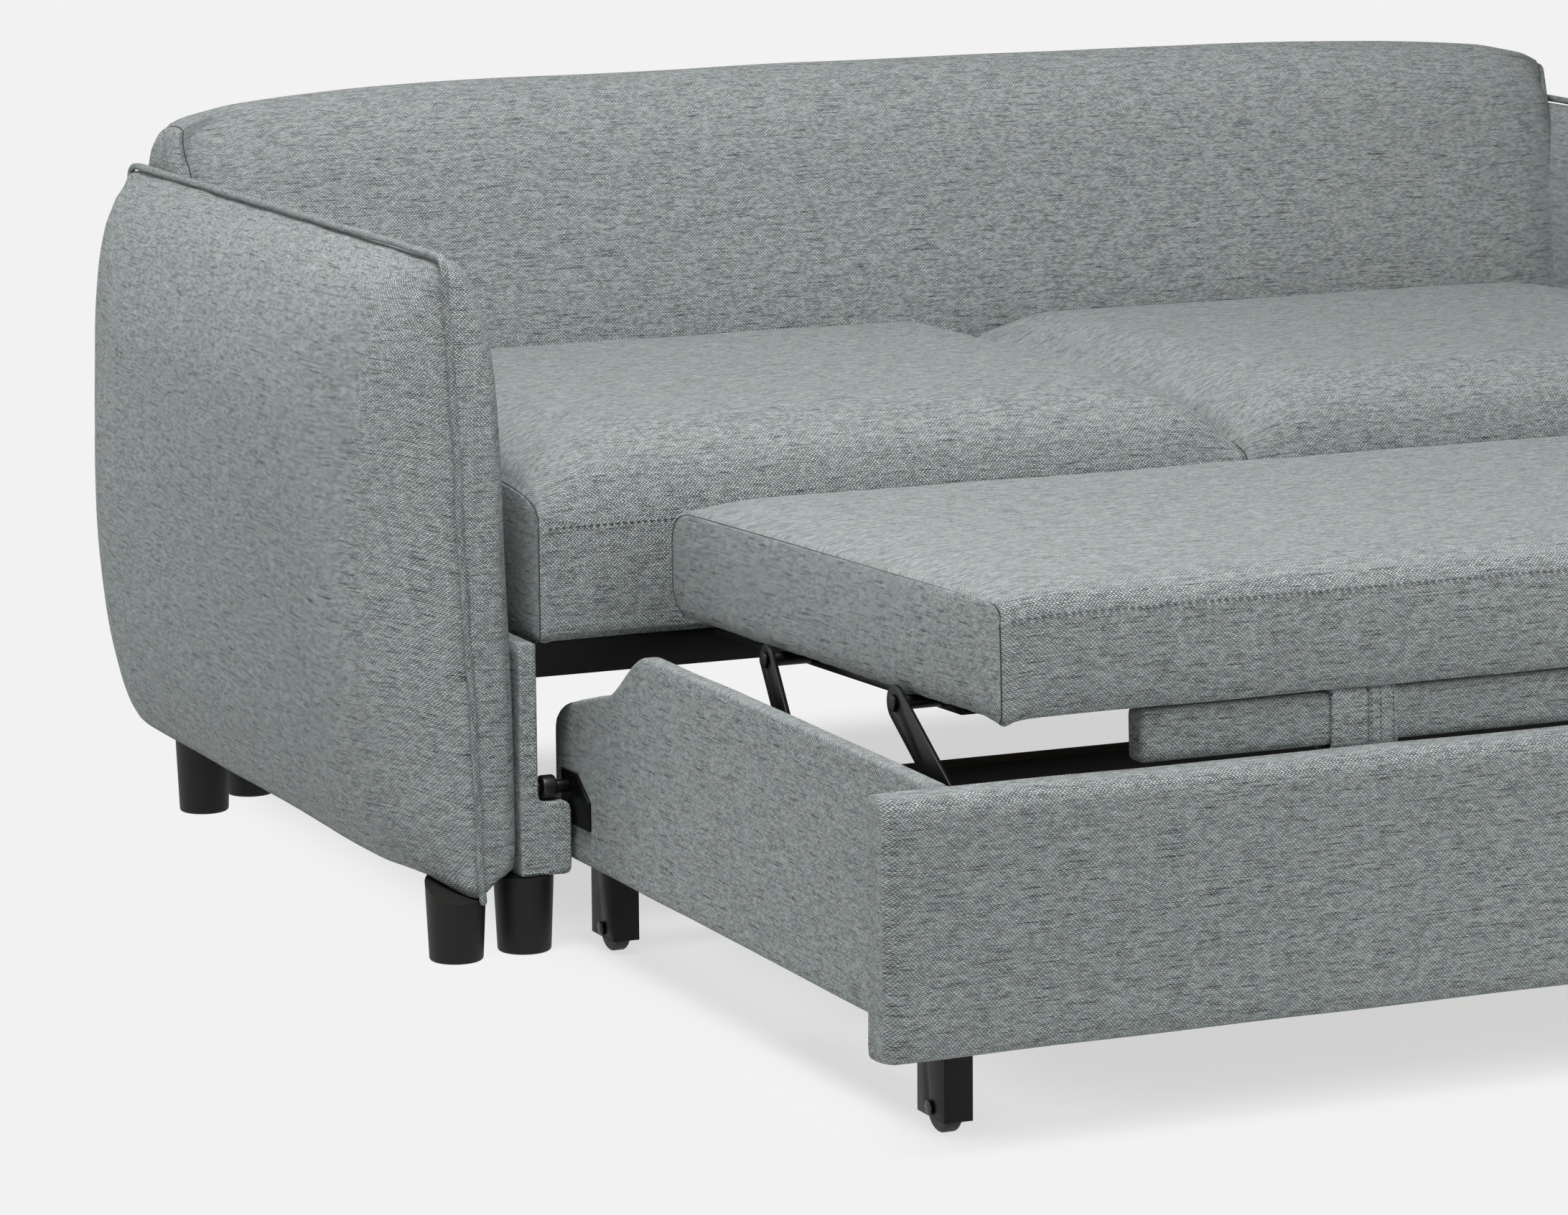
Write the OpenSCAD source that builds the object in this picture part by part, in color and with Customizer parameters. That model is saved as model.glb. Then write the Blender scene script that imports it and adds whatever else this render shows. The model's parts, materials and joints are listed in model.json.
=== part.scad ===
// Two seat sofa bed with a pull-out trundle and a mattress that lifts to seat height.
// Units are millimetres. X runs along the sofa, Y from front to back, Z up. Floor is Z 0.
// Modelled as shown in the photo: trundle out, mattress raised.

/* [Arms] */
// Height of the top of the arm upholstery
arm_top = 623; // [560:1:680]
// Front face of the arms
arm_front_y = -60; // [-90:1:-40]
// Rear face of the arms
arm_rear_y = 812; // [780:1:824]
// Underside of the arms
arm_bottom = 80; // [70:1:100]
// Outward bulge of the side panel at mid height
arm_bulge = 86; // [40:1:100]
// Distance over which the bulge grows from the front edge
arm_roll = 95; // [60:1:140]
// Running gap between arm and side rail
arm_gap = 1.5; // [0.5:0.5:5]
// Distance of the welt from the inner face of the arm, at the floor
arm_front_w = 36; // [25:1:60]
// Outward lean of the arms from floor to top, per metre
arm_lean = 46.875; // [0:0.5:60]
// Inset of the arm frame from the inner face
frame_inset = 16; // [14:1:25]
// Width of the base plank of an arm frame
plank_w = 48; // [40:1:60]
// Thickness of the arm frame boards
board_t = 18; // [12:1:24]
// Diameter of the welt cord
welt_d = 9; // [6:0.5:12]
// Gap between the welt cord and the upholstery
welt_gap = 0.5; // [0.2:0.1:1]

/* [Backrest] */
// Width of backrest that lies on each arm
back_overlap = 47; // [30:1:49]
// Top of the backrest
back_top = 708; // [660:1:760]
// Height of the backrest pad above the underside of the seat
back_lift = 3; // [2:1:20]
// Rear face of the backrest
back_rear = 826; // [820:1:840]
// Thickness of the rear panel under the backrest
rear_panel_t = 36; // [20:1:40]

/* [Seat] */
// Gap between seat cushion and side rail
seat_side_gap = 3; // [1:0.5:6]
// Underside of the seat cushions
seat_bottom = 281; // [275:1:290]
// Edge height of the seat cushion
seat_edge = 428; // [400:1:440]
// Crown of the seat cushion above its edge
seat_crown = 30; // [10:1:40]
// Front face of the seat cushions
seat_front = -51; // [-60:1:-40]
// Rear face of the seat cushions
seat_rear = 604; // [560:1:606]
// Half width of the pair of seat cushions
seat_half = 702; // [680:1:704]
// Gap between the two seat cushions
seat_gap = 3; // [1:0.5:8]

/* [Base frame] */
// Thickness of the upper side rail
rail_wall = 17.5; // [12:0.5:30]
// Inward width of the roller ledge
ledge_w = 31; // [25:1:40]
// Underside of the side rails
rail_bottom = 70; // [60:1:80]
// Height of the roller ledge
ledge_h = 66; // [55:1:75]
// Front end of the side rails
rail_front = -50; // [-58:1:-40]
// Wall of the steel angle beams
beam_t = 3; // [2:0.5:4]
// Height of the steel angle beams
beam_h = 32; // [25:1:32]
// Depth of the steel angle beams
beam_w = 40; // [30:1:50]
// Number of seat slats
slat_count = 14; // [8:1:20]
// Width of a seat slat
slat_w = 53; // [30:1:60]
// Thickness of a seat slat
slat_t = 8; // [6:1:10]

/* [Legs] */
// Diameter of a leg at the top
leg_d = 54; // [40:1:60]
// Diameter of a leg at the floor
leg_foot_d = 48; // [36:1:60]
// Distance of an arm leg from the inner edge of its plank
arm_leg_inset = 40; // [30:1:44]
// Distance of a base leg from the inner face of its side rail
base_leg_inset = 7; // [0:1:10]
// Distance of the front arm legs from the front of the arm
arm_leg_front_in = 24; // [20:1:60]
// Distance of the rear arm legs from the rear of the arm
arm_leg_rear_in = 146; // [60:1:160]
// Distance of the front base legs from the front of the side rail
base_leg_front_in = 23; // [20:1:60]
// Distance of the rear base legs from the rear of the arm
base_leg_rear_in = 87; // [70:1:100]
// Diameter of a leg bolt
leg_bolt_d = 8; // [6:1:10]

/* [Trundle] */
// Distance of the trundle's front face from the front of the mattress
panel_reach = 36; // [20:1:50]
// Thickness of the trundle front panel
panel_t = 38; // [25:1:50]
// Setback of the front panel's ends from the outer face of the side rails
panel_inset = 0.5; // [0:0.5:20]
// Underside of the front panel
panel_bottom = 79; // [70:1:100]
// Top of the trundle panels
panel_top = 290; // [260:1:300]
// Gap between trundle side panel and roller ledge
side_gap = 6; // [4:0.5:10]
// Thickness of the trundle side panels
side_t = 16; // [12:1:20]
// Height of the side panels' underside above that of the front panel
side_lift = 1; // [0:1:15]
// Rear end of the side panels
side_rear = 5; // [-10:1:20]
// Height of the lowered rear end of the side panels
side_low = 238; // [220:1:245]
// Width of a wheel leg
wheel_leg_w = 25; // [20:1:30]
// Depth of a wheel leg
wheel_leg_d = 50; // [40:1:60]
// Wall of a wheel leg
wheel_leg_wall = 2; // [1.5:0.5:3]
// Bottom end of a wheel leg
wheel_leg_z = 13; // [8:1:16]
// Distance of the front wheel legs behind the front panel
wheel_front_in = 40; // [30:1:80]
// Distance of the rear wheel legs from the rear end of the side panels
wheel_rear_in = 68; // [50:1:90]
// Wheel diameter
wheel_d = 42; // [36:1:44]
// Wheel width
wheel_w = 14; // [10:1:18]
// Axle diameter
axle_d = 8; // [6:1:10]
// Radial running clearance of wheels, rollers and links
run_gap = 0.08; // [0.02:0.01:0.1]
// Guide roller diameter
roller_d = 22; // [18:1:24]
// Guide roller width
roller_w = 14; // [10:1:16]

/* [Mattress lift] */
// Slope of the mattress, front end up
tilt = 1.8; // [0:0.1:3]
// Side gap between mattress and links
mat_gap = 8; // [4:1:20]
// Rear face of the mattress
mat_rear = -130; // [-150:1:-120]
// Length of the mattress
mat_len = 660; // [600:1:662]
// Underside of the mattress at its rear edge
mat_low = 312; // [300:1:320]
// Thickness of the mattress at its edge
mat_t = 92; // [80:1:110]
// Crown of the mattress
mat_crown = 8; // [0:1:15]
// Distance of the upper front pivot from the front face of the mattress
pivot_in = 173; // [160:1:190]
// Rearward spacing of the rear links
link_gap = 256; // [200:1:300]
// Rearward reach of a raised link
link_reach = 128; // [100:1:150]
// Rise of a raised link
link_rise = 122; // [100:1:140]
// Thickness of a link
link_t = 4; // [3:0.5:6]
// Width of the front links
front_link_w = 30; // [20:1:34]
// Width of the rear links
rear_link_w = 26; // [20:1:30]
// Pivot pin diameter
pin_d = 8; // [6:1:10]
// Half length of the grip board
grip_half = 485; // [300:1:520]
// Height of the grip board
grip_h = 44; // [30:1:46]
// Thickness of the grip board
grip_t = 24; // [15:1:26]
// Width of a pull strap
strap_w = 60; // [30:1:80]
// Distance of the pull straps from the middle
strap_x = 275; // [150:1:400]

/* [Hidden] */
$fn = 48;
eps = 0.01;
fit = 0.4;
far = 3000;
rail_inner = seat_half + seat_side_gap;
rail_outer = rail_inner + rail_wall;
arm_inner_x = rail_outer + arm_gap;
back_half = arm_inner_x + back_overlap;
back_bottom = seat_bottom + back_lift;
back_wide = arm_inner_x - 3;
ledge_inner = rail_inner - ledge_w;
ledge_top = rail_bottom + ledge_h;
frame_x = arm_inner_x + frame_inset;
arm_leg_x = frame_x + arm_leg_inset;
base_leg_x = rail_inner + base_leg_inset;
arm_leg_front = arm_front_y + arm_leg_front_in;
arm_leg_rear = arm_rear_y - arm_leg_rear_in;
base_leg_front = rail_front + base_leg_front_in;
base_leg_rear = arm_rear_y - base_leg_rear_in;
panel_half = rail_outer - panel_inset;
panel_front = mat_rear - mat_len - panel_reach;
side_outer = ledge_inner - side_gap;
side_inner = side_outer - side_t;
side_bottom = panel_bottom + side_lift;
wheel_front_y = panel_front + panel_t + wheel_front_in;
wheel_rear_y = side_rear - wheel_rear_in;
wheel_leg_top = side_bottom + 73;
rail_flange = 27;
rail_plate = 3;
plate_x = side_inner - rail_flange;
link_x = plate_x - link_t / 2 - 4;
mat_half = link_x - link_t / 2 - mat_gap;
pivot_reach = mat_len - pivot_in;
pivot_y = mat_rear - pivot_reach;
beam_top = seat_bottom - 0.3;
beam_low = beam_top - beam_h;
slat_z = beam_top - slat_t - 0.2;
flange_z = slat_z - beam_t;
axle_z = wheel_d / 2;
roller_y = rail_front + 14;
roller_z = ledge_top + roller_d / 2 + fit;
roller_x = ledge_inner + 18;
mat_drop = 8.4;
deck_t = 12;
pu_f = [pivot_y, mat_low + (mat_rear - pivot_y) * tan(tilt) - mat_drop];
pu_r = [pivot_y + link_gap, mat_low + (mat_rear - pivot_y - link_gap) * tan(tilt) - mat_drop];
pl_f = [pu_f[0] - link_reach, pu_f[1] - link_rise];
pl_r = [pu_r[0] - link_reach, pu_r[1] - link_rise];
panel_rear = panel_front + panel_t;

// Closed body lofted through rings that all have the same number of points.
module loft(rings) {
    n = len(rings[0]);
    m = len(rings);
    pts = [for (r = rings) for (p = r) p];
    caps = [[for (i = [n - 1:-1:0]) i], [for (i = [0:n - 1]) (m - 1) * n + i]];
    walls = [for (j = [0:m - 2]) for (i = [0:n - 1])
        let (a = j * n + i, b = j * n + (i + 1) % n, c = a + n, d = b + n)
        each [[a, b, d], [a, d, c]]];
    polyhedron(points = pts, faces = concat(caps, walls), convexity = 8);
}

// Rounded rectangle ring at height z, inset from its box by d.
function ring(x0, x1, y0, y1, r, d, z, k) = let (q = max(r - d * 0.4, 3))
    [for (c = [[x1 - d - q, y1 - d - q, 0], [x0 + d + q, y1 - d - q, 90],
               [x0 + d + q, y0 + d + q, 180], [x1 - d - q, y0 + d + q, 270]])
        for (i = [0:k]) let (a = c[2] + 90 * i / k) [c[0] + q * cos(a), c[1] + q * sin(a), z]];

// Upholstered pad with a crown, a stitched channel near the top and drawn-in sides.
module pad(x0, x1, y0, y1, z0, z1, crown, r, k, seam) {
    h = z1 - z0;
    m = min(x1 - x0, y1 - y0) / 2;
    steps = [[16, 0], [5, 4], [1, 14], [0, h * 0.30], [0.4, h * 0.55], [0.6, seam - 6],
        [3.2, seam - 1], [3.2, seam + 1], [0.4, seam + 5],
        [4, h - 11], [11, h - 4], [24, h], [60, h + crown * 0.38],
        [m * 0.42, h + crown * 0.72], [m * 0.7, h + crown * 0.93], [m * 0.93, h + crown]];
    loft([for (s = steps) ring(x0, x1, y0, y1, r, s[0], z0 + s[1], k)]);
}

// Points on an arc about p in the YZ plane.
function arc(p, r, a0, a1, k) = [for (i = [0:k]) let (a = a0 + (a1 - a0) * i / k)
    p + r * [cos(a), sin(a)]];
function mitre(k, r, n1, n2) = k + (r / (1 + n1 * n2)) * (n1 + n2);

// Outline of a flat bar bent at k, with round ends about p and q.
function bent_bar(p, k, q, r) = let (
    t1 = atan2(k[1] - p[1], k[0] - p[0]), t2 = atan2(q[1] - k[1], q[0] - k[0]),
    n1 = [-sin(t1), cos(t1)], n2 = [-sin(t2), cos(t2)])
    concat(arc(p, r, t1 + 90, t1 + 270, 16),
        t2 > t1 ? arc(k, r, t1 - 90, t2 - 90, 4) : [mitre(k, r, -n1, -n2)],
        arc(q, r, t2 - 90, t2 + 90, 16),
        t2 < t1 ? arc(k, r, t2 + 90, t1 + 90, 4) : [mitre(k, r, n1, n2)]);

module pin_x(x0, x1, p, d) {
    translate([x0, p[0], p[1]]) rotate([0, 90, 0]) cylinder(h = x1 - x0, d = d);
}

module box(x0, x1, y0, y1, z0, z1) {
    translate([x0, y0, z0]) cube([x1 - x0, y1 - y0, z1 - z0]);
}

module both() {
    children();
    mirror([1, 0, 0]) children();
}

// Arms. The outline is that of the right arm, which is mirrored for the left one.
// Heights are drawn for an arm of 543 from its underside, and follow its real height.
arm_h = (arm_top - arm_bottom) / 543;
function az(z) = arm_bottom + z * arm_h;
arm_knee = az(120);
function arm_edge(z) = arm_inner_x + arm_front_w + arm_lean * z / 1000;
arm_out = [for (p = [[0, 0.64], [15, 0.74], [50, 0.86], [120, 0.965], [220, 1], [320, 0.98],
    [390, 0.93], [450, 0.83], [495, 0.68], [520, 0.5], [535, 0.27], [542, 0.06]]) [az(p[0]), p[1]]];
arm_in = [for (p = [[14, 0], [26, -6], [40, -24], [50, -56], [56, -90], [60, -130], [64, -200],
    [67, -300], [69, -420], [69.5, -520]]) [p[0], p[1] * arm_h]];
// Each station holds position, bulge share, inset of the edge and droop of the bottom.
arm_stations = [[0, 0.02, 13, 22], [4, 0.14, 7, 21], [11, 0.30, 3, 17], [22, 0.50, 0, 10],
    [40, 0.72, 0, 3], [66, 0.91, 0, 0], [110, 1, 0, 0], [330, 1, 0, 0], [600, 1, 0, 0],
    [765, 1, 0, 0], [812, 0.90, 0, 0], [838, 0.72, 1, -8], [858, 0.46, 4, -28], [868, 0.24, 9, -46],
    [872, 0.05, 15, -60]];
arm_k = (arm_edge(arm_top) - arm_inner_x) / 69.5;
function arm_ring(s) = let (y = arm_front_y + s[0] * (arm_rear_y - arm_front_y) / 872, b = s[1],
        d = s[2], low = arm_bottom - s[3])
    concat(
        [for (p = arm_out) let (z = max(p[0] - d * 0.5, low + (p[0] - arm_bottom) * 0.55))
            [arm_edge(p[0]) + b * p[1] * arm_bulge, y,
             p[0] <= arm_knee ? low + (p[0] - arm_bottom) * (arm_knee - low) / (arm_knee - arm_bottom) : z]],
        [for (p = arm_in) let (z = arm_top + p[1] - d * 0.6)
            [arm_edge(arm_top) - p[0] * arm_k + d * min(1, p[0] / 40), y,
             z < arm_knee ? low + (z - arm_bottom) * (arm_knee - low) / (arm_knee - arm_bottom) : z]],
        [[arm_inner_x + 3 + d, y, low + 4], [arm_inner_x + 9 + d, y, low]]);

// Profile of the backrest in the YZ plane, seen from the left side.
// It is drawn 222 deep and 424 high, and follows the real depth and height.
back_k = [(back_rear - seat_rear) / 222, (back_top - back_bottom) / 424];
back_line = [for (p = [[1, 6], [2, 46], [5, 116], [9, 161], [17, 206], [30, 256], [44, 306], [56, 344],
    [70, 374], [90, 400], [112, 416], [138, 424], [162, 421], [182, 410], [198, 388], [207, 356],
    [213, 296], [218, 196], [221, 96], [222, 14], [218, 3], [210, 0], [2, 0]])
    [seat_rear + p[0] * back_k[0], back_bottom + p[1] * back_k[1]]];
back_mid = [seat_rear + 112 * back_k[0], back_bottom + 316 * back_k[1]];

module back_notch() {
    rotate([90, 0, 90]) translate([0, 0, rail_inner - 5])
        linear_extrude(height = back_half - rail_inner + 5 + fit) offset(delta = fit) polygon(back_line);
}

module arm_right_solid() {
    difference() {
        loft([for (s = arm_stations) arm_ring(s)]);
        back_notch();
        box(frame_x - 0.6, frame_x + plank_w + 0.6, plank_y - 0.6, plank_end + 0.6, -1, plank_top + 0.6);
        box(frame_x - 0.6, frame_x + board_t + 0.6, board_y - 0.6, board_end + 0.6, arm_bottom + 10,
            board_top + 0.6);
        for (y = [arm_leg_front, arm_leg_rear])
            translate([arm_leg_x, y, -1]) cylinder(h = arm_bottom + 1.4, d = leg_d + 1.4);
        for (y = [base_leg_front, base_leg_rear])
            translate([base_leg_x, y, -1]) cylinder(h = rail_bottom + 1.4, d = leg_d + 1.4);
        for (y = arm_bolt_y) pin_x(rail_inner - 5, frame_x + 5, [y, arm_bolt_z], arm_bolt_d + fit);
    }
}
plank_y = arm_leg_front - 8;
plank_end = arm_rear_y - 32;
plank_top = arm_bottom + 24;
board_y = seat_front + 41;
board_end = seat_rear - 12;
board_top = arm_top - 63;
arm_bolt_d = 8;
arm_bolt_y = [seat_front + 111, (seat_front + seat_rear + 47) / 2, seat_rear - 64];
arm_bolt_z = rail_bottom + 140;

module arm_left() { color("#78827f") mirror([1, 0, 0]) arm_right_solid(); }
module arm_right() { color("#78827f") arm_right_solid(); }

// Welt cord along the front and top edge of the side panel.
welt_y = arm_front_y - welt_d / 2 - welt_gap;
welt_z = arm_top + welt_d / 2 + welt_gap;
welt_r = 14;
welt_path = concat(
    [for (z = [-26, 40, 160, 280, 400, 480, 516]) [arm_edge(az(z)) + 1, welt_y, az(z)]],
    [for (a = [10:16:90]) [arm_edge(az(530)) + 1, welt_y + welt_r - welt_r * cos(a), welt_z - welt_r + welt_r * sin(a)]],
    [for (y = [70, 260, 460, 660, 820, 872]) [arm_edge(arm_top), arm_front_y + y * (arm_rear_y - arm_front_y) / 872,
        welt_z]]);

module welt_right_solid() {
    k = 8;
    n = len(welt_path);
    loft([for (i = [0:n - 1])
        let (a = welt_path[max(i - 1, 0)], b = welt_path[min(i + 1, n - 1)], t = (b - a) / norm(b - a),
             u = [1, 0, 0] - t * t[0], v = u / norm(u), w = cross(t, v))
        [for (j = [0:k - 1]) welt_path[i] + (v * cos(360 * j / k) + w * sin(360 * j / k)) * welt_d / 2]]);
}
module arm_welt_left() { color("#6f7976") mirror([1, 0, 0]) welt_right_solid(); }
module arm_welt_right() { color("#6f7976") welt_right_solid(); }

// Wooden inner frame of an arm: base plank and upright board.
module arm_frame_solid() {
    difference() {
        union() {
            box(frame_x, frame_x + plank_w, plank_y, plank_end, arm_bottom, plank_top);
            box(frame_x, frame_x + board_t, board_y, board_end, plank_top - eps, board_top);
        }
        for (y = [arm_leg_front, arm_leg_rear])
            translate([arm_leg_x, y, arm_bottom - 1]) cylinder(h = 19, d = leg_bolt_d + 0.2);
        for (y = arm_bolt_y) pin_x(frame_x - 1, frame_x + 12, [y, arm_bolt_z], arm_bolt_d + 0.2);
    }
}
module arm_frame_left() { color("#c9a97a") mirror([1, 0, 0]) arm_frame_solid(); }
module arm_frame_right() { color("#c9a97a") arm_frame_solid(); }

// Bolts that hold the side rails to the arm frames.
module arm_bolts() {
    color("#b9bcbd") both() for (y = arm_bolt_y) {
        pin_x(rail_inner - 2.4, frame_x + 11, [y, arm_bolt_z], arm_bolt_d);
        pin_x(rail_inner - 5.2, rail_inner - fit, [y, arm_bolt_z], 15);
    }
}

// Backrest pad: the profile runs across and is drawn in at both ends.
function back_ring(x, d, droop) = [for (p = back_line)
    let (up = max(0, (p[1] - back_mid[1]) / (back_top - back_mid[1])), sy = p[0] - back_mid[0],
        zz = p[1] - d * (p[1] > back_mid[1] ? 1 : 0))
    [x, p[0] - sign(sy) * min(abs(sy) * 0.5, d), zz - droop * up]];
module backrest() {
    color("#78827f") difference() {
        loft([for (s = [[-back_half, 17, 16], [-back_half + 3, 9, 15], [-back_half + 9, 3, 13],
                [-back_half + 20, 0, 10], [-back_half + 70, 0, 5], [-560, 0, 1], [0, 0, 0], [560, 0, 1],
                [back_half - 70, 0, 5], [back_half - 20, 0, 10], [back_half - 9, 3, 13],
                [back_half - 3, 9, 15], [back_half, 17, 16]])
            back_ring(s[0], s[1], s[2])]);
        box(-back_board_x - 0.6, back_board_x + 0.6, back_board_y - 0.6, back_board_y + board_t + 0.6,
            back_bottom - 1, back_board_top + 0.6);
    }
}
back_board_x = back_half - 51;
back_board_y = back_rear - 80;
back_board_top = back_top - 68;
module back_board() {
    color("#c9a97a") box(-back_board_x, back_board_x, back_board_y, back_board_y + board_t, back_bottom,
        back_board_top);
}
module rear_panel() {
    color("#78827f") difference() {
        box(-back_wide, back_wide, back_rear - rear_panel_t, back_rear, rail_bottom + 20, back_bottom - 0.3);
        for (s = [-1, 1]) translate([s * back_wide, back_rear, back_bottom - 98])
            rotate([0, 0, 45]) cube([7, 7, far / 10], center = true);
    }
}

// Seat cushions.
module seat_pad() {
    pad(seat_gap / 2, seat_half, seat_front, seat_rear, seat_bottom, seat_edge, seat_crown, 26, 5,
        (seat_edge - seat_bottom) * 0.78);
}
module seat_cushion_left() { color("#7d8784") mirror([1, 0, 0]) seat_pad(); }
module seat_cushion_right() { color("#7d8784") seat_pad(); }

// Side rails with the roller ledge, profile in XZ with small rounded corners.
function corner(cx, cz, r, a0) = [for (i = [0:4]) let (a = a0 + 22.5 * i) [cx + r * cos(a), cz + r * sin(a)]];
rail_top = seat_bottom - 1;
rail_rear = arm_rear_y - 26;
rail_line = concat([[rail_outer, rail_bottom]],
    [[rail_outer, rail_top], [rail_inner, rail_top], [rail_inner, ledge_top]],
    corner(ledge_inner + 6, ledge_top - 6, 6, 90), corner(ledge_inner + 9, rail_bottom + 9, 9, 180));
module rail_solid() {
    difference() {
        translate([0, rail_rear, 0]) rotate([90, 0, 0]) linear_extrude(height = rail_rear - rail_front)
            polygon(rail_line);
        for (y = arm_bolt_y) pin_x(rail_inner - 5, rail_outer + 5, [y, arm_bolt_z], arm_bolt_d + 0.2);
        for (y = [base_leg_front, base_leg_rear])
            translate([base_leg_x, y, rail_bottom - 1]) cylinder(h = 25, d = leg_bolt_d + 0.2);
    }
}
module side_rail_left() { color("#6f7a77") mirror([1, 0, 0]) rail_solid(); }
module side_rail_right() { color("#6f7a77") rail_solid(); }

// Steel angles under the seat, the flange carries the slats.
beam_x = rail_inner - 0.3;
beam_front_y = seat_front + 5;
beam_rear_y = seat_rear - 16;
module front_beam() {
    color("#141414") {
        box(-beam_x, beam_x, beam_front_y, beam_front_y + beam_t, beam_low, beam_top);
        box(-beam_x, beam_x, beam_front_y + beam_t - eps, beam_front_y + beam_w, flange_z, slat_z);
    }
}
module rear_beam() {
    color("#141414") {
        box(-beam_x, beam_x, beam_rear_y - beam_t, beam_rear_y, beam_low, beam_top);
        box(-beam_x, beam_x, beam_rear_y - beam_w, beam_rear_y - beam_t + eps, flange_z, slat_z);
    }
}
module centre_beam() {
    color("#141414") difference() {
        box(-15, 15, beam_front_y + beam_w + 0.4, beam_rear_y - beam_w - 0.4, beam_low, slat_z - 0.3);
        box(-13, 13, -far, far, beam_low + 2, slat_z - 2.3);
    }
}
module corner_brackets() {
    color("#1b1b1b") both() for (e = [0, 1]) {
        y0 = e == 0 ? beam_front_y + beam_t + 0.4 : beam_rear_y - beam_t - 0.4 - 32;
        yf = e == 0 ? y0 : y0 + 29;
        box(beam_x - 3, beam_x, y0, y0 + 32, beam_low + 1, flange_z - 0.4);
        box(beam_x - 32, beam_x - 3 + eps, yf, yf + 3, beam_low + 1, flange_z - 0.4);
    }
}
module seat_slats() {
    pitch = (2 * beam_x - 20) / slat_count;
    color("#d8c196") for (i = [0:slat_count - 1])
        translate([-beam_x + 10 + pitch * (i + 0.5) - slat_w / 2, beam_front_y + beam_t + 1, slat_z + 0.2])
            cube([slat_w, beam_rear_y - beam_front_y - 2 * beam_t - 2, slat_t]);
}

// Round legs with a softened foot edge.
module leg(x, y, h) {
    f = leg_foot_d / 2;
    t = leg_d / 2;
    translate([x, y, 0]) difference() {
        rotate_extrude($fn = 64) polygon([[0, 0], [f - 5, 0], [f - 2.4, 0.7], [f - 0.8, 2.2], [f, 4.5],
            [t, h], [0, h]]);
        translate([0, 0, h - 14]) cylinder(h = 15, d = leg_bolt_d + 0.2);
    }
}
leg_color = "#211f1e";
module arm_leg_front_left() { color(leg_color) leg(-arm_leg_x, arm_leg_front, arm_bottom); }
module arm_leg_front_right() { color(leg_color) leg(arm_leg_x, arm_leg_front, arm_bottom); }
module arm_leg_rear_left() { color(leg_color) leg(-arm_leg_x, arm_leg_rear, arm_bottom); }
module arm_leg_rear_right() { color(leg_color) leg(arm_leg_x, arm_leg_rear, arm_bottom); }
module base_leg_front_left() { color(leg_color) leg(-base_leg_x, base_leg_front, rail_bottom); }
module base_leg_front_right() { color(leg_color) leg(base_leg_x, base_leg_front, rail_bottom); }
module base_leg_rear_left() { color(leg_color) leg(-base_leg_x, base_leg_rear, rail_bottom); }
module base_leg_rear_right() { color(leg_color) leg(base_leg_x, base_leg_rear, rail_bottom); }
module leg_bolts() {
    color("#b9bcbd") both() {
        for (y = [arm_leg_front, arm_leg_rear])
            translate([arm_leg_x, y, arm_bottom - 13]) cylinder(h = 30, d = leg_bolt_d);
        for (y = [base_leg_front, base_leg_rear])
            translate([base_leg_x, y, rail_bottom - 13]) cylinder(h = 36, d = leg_bolt_d);
    }
}

// Trundle panels.
panel_line = concat(
    corner(panel_rear - 5, panel_top - 5, 5, 0), corner(panel_front + 10, panel_top - 10, 10, 90),
    corner(panel_front + 10, panel_bottom + 10, 10, 180), corner(panel_rear - 5, panel_bottom + 5, 5, 270));
module trundle_front_panel() {
    color("#78827f") difference() {
        rotate([90, 0, 90]) translate([0, 0, -panel_half]) linear_extrude(height = 2 * panel_half)
            polygon(panel_line);
        for (s = [-1, 1]) translate([s * panel_half, panel_front, panel_top])
            rotate([0, 0, 45]) cube([10, 10, far], center = true);
    }
}
// The rear end of a side panel steps down with an S curve.
side_line = concat([[panel_rear + 0.4, side_bottom], [side_rear - 8, side_bottom]],
    [[side_rear - 2, side_bottom + 3], [side_rear, side_bottom + 9]],
    [for (p = [[0, 50], [1.5, 39], [6, 33], [14, 26.5], [27, 20], [45, 15], [65, 9.5], [88, 4], [108, -1]])
        [side_rear - p[0], side_low - p[1]]],
    [for (i = [1:9]) let (u = i / 10) [side_rear - 108 - 110 * u, side_low + 1 + (panel_top - side_low - 1) * (0.5 - 0.5 * cos(180 * u))]],
    [[side_rear - 220, panel_top], [panel_rear + 0.4, panel_top]]);
module side_solid() {
    rotate([90, 0, 90]) translate([0, 0, side_inner]) linear_extrude(height = side_t)
        polygon(side_line);
}
module trundle_side_left() { color("#78827f") mirror([1, 0, 0]) side_solid(); }
module trundle_side_right() { color("#78827f") side_solid(); }

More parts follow.
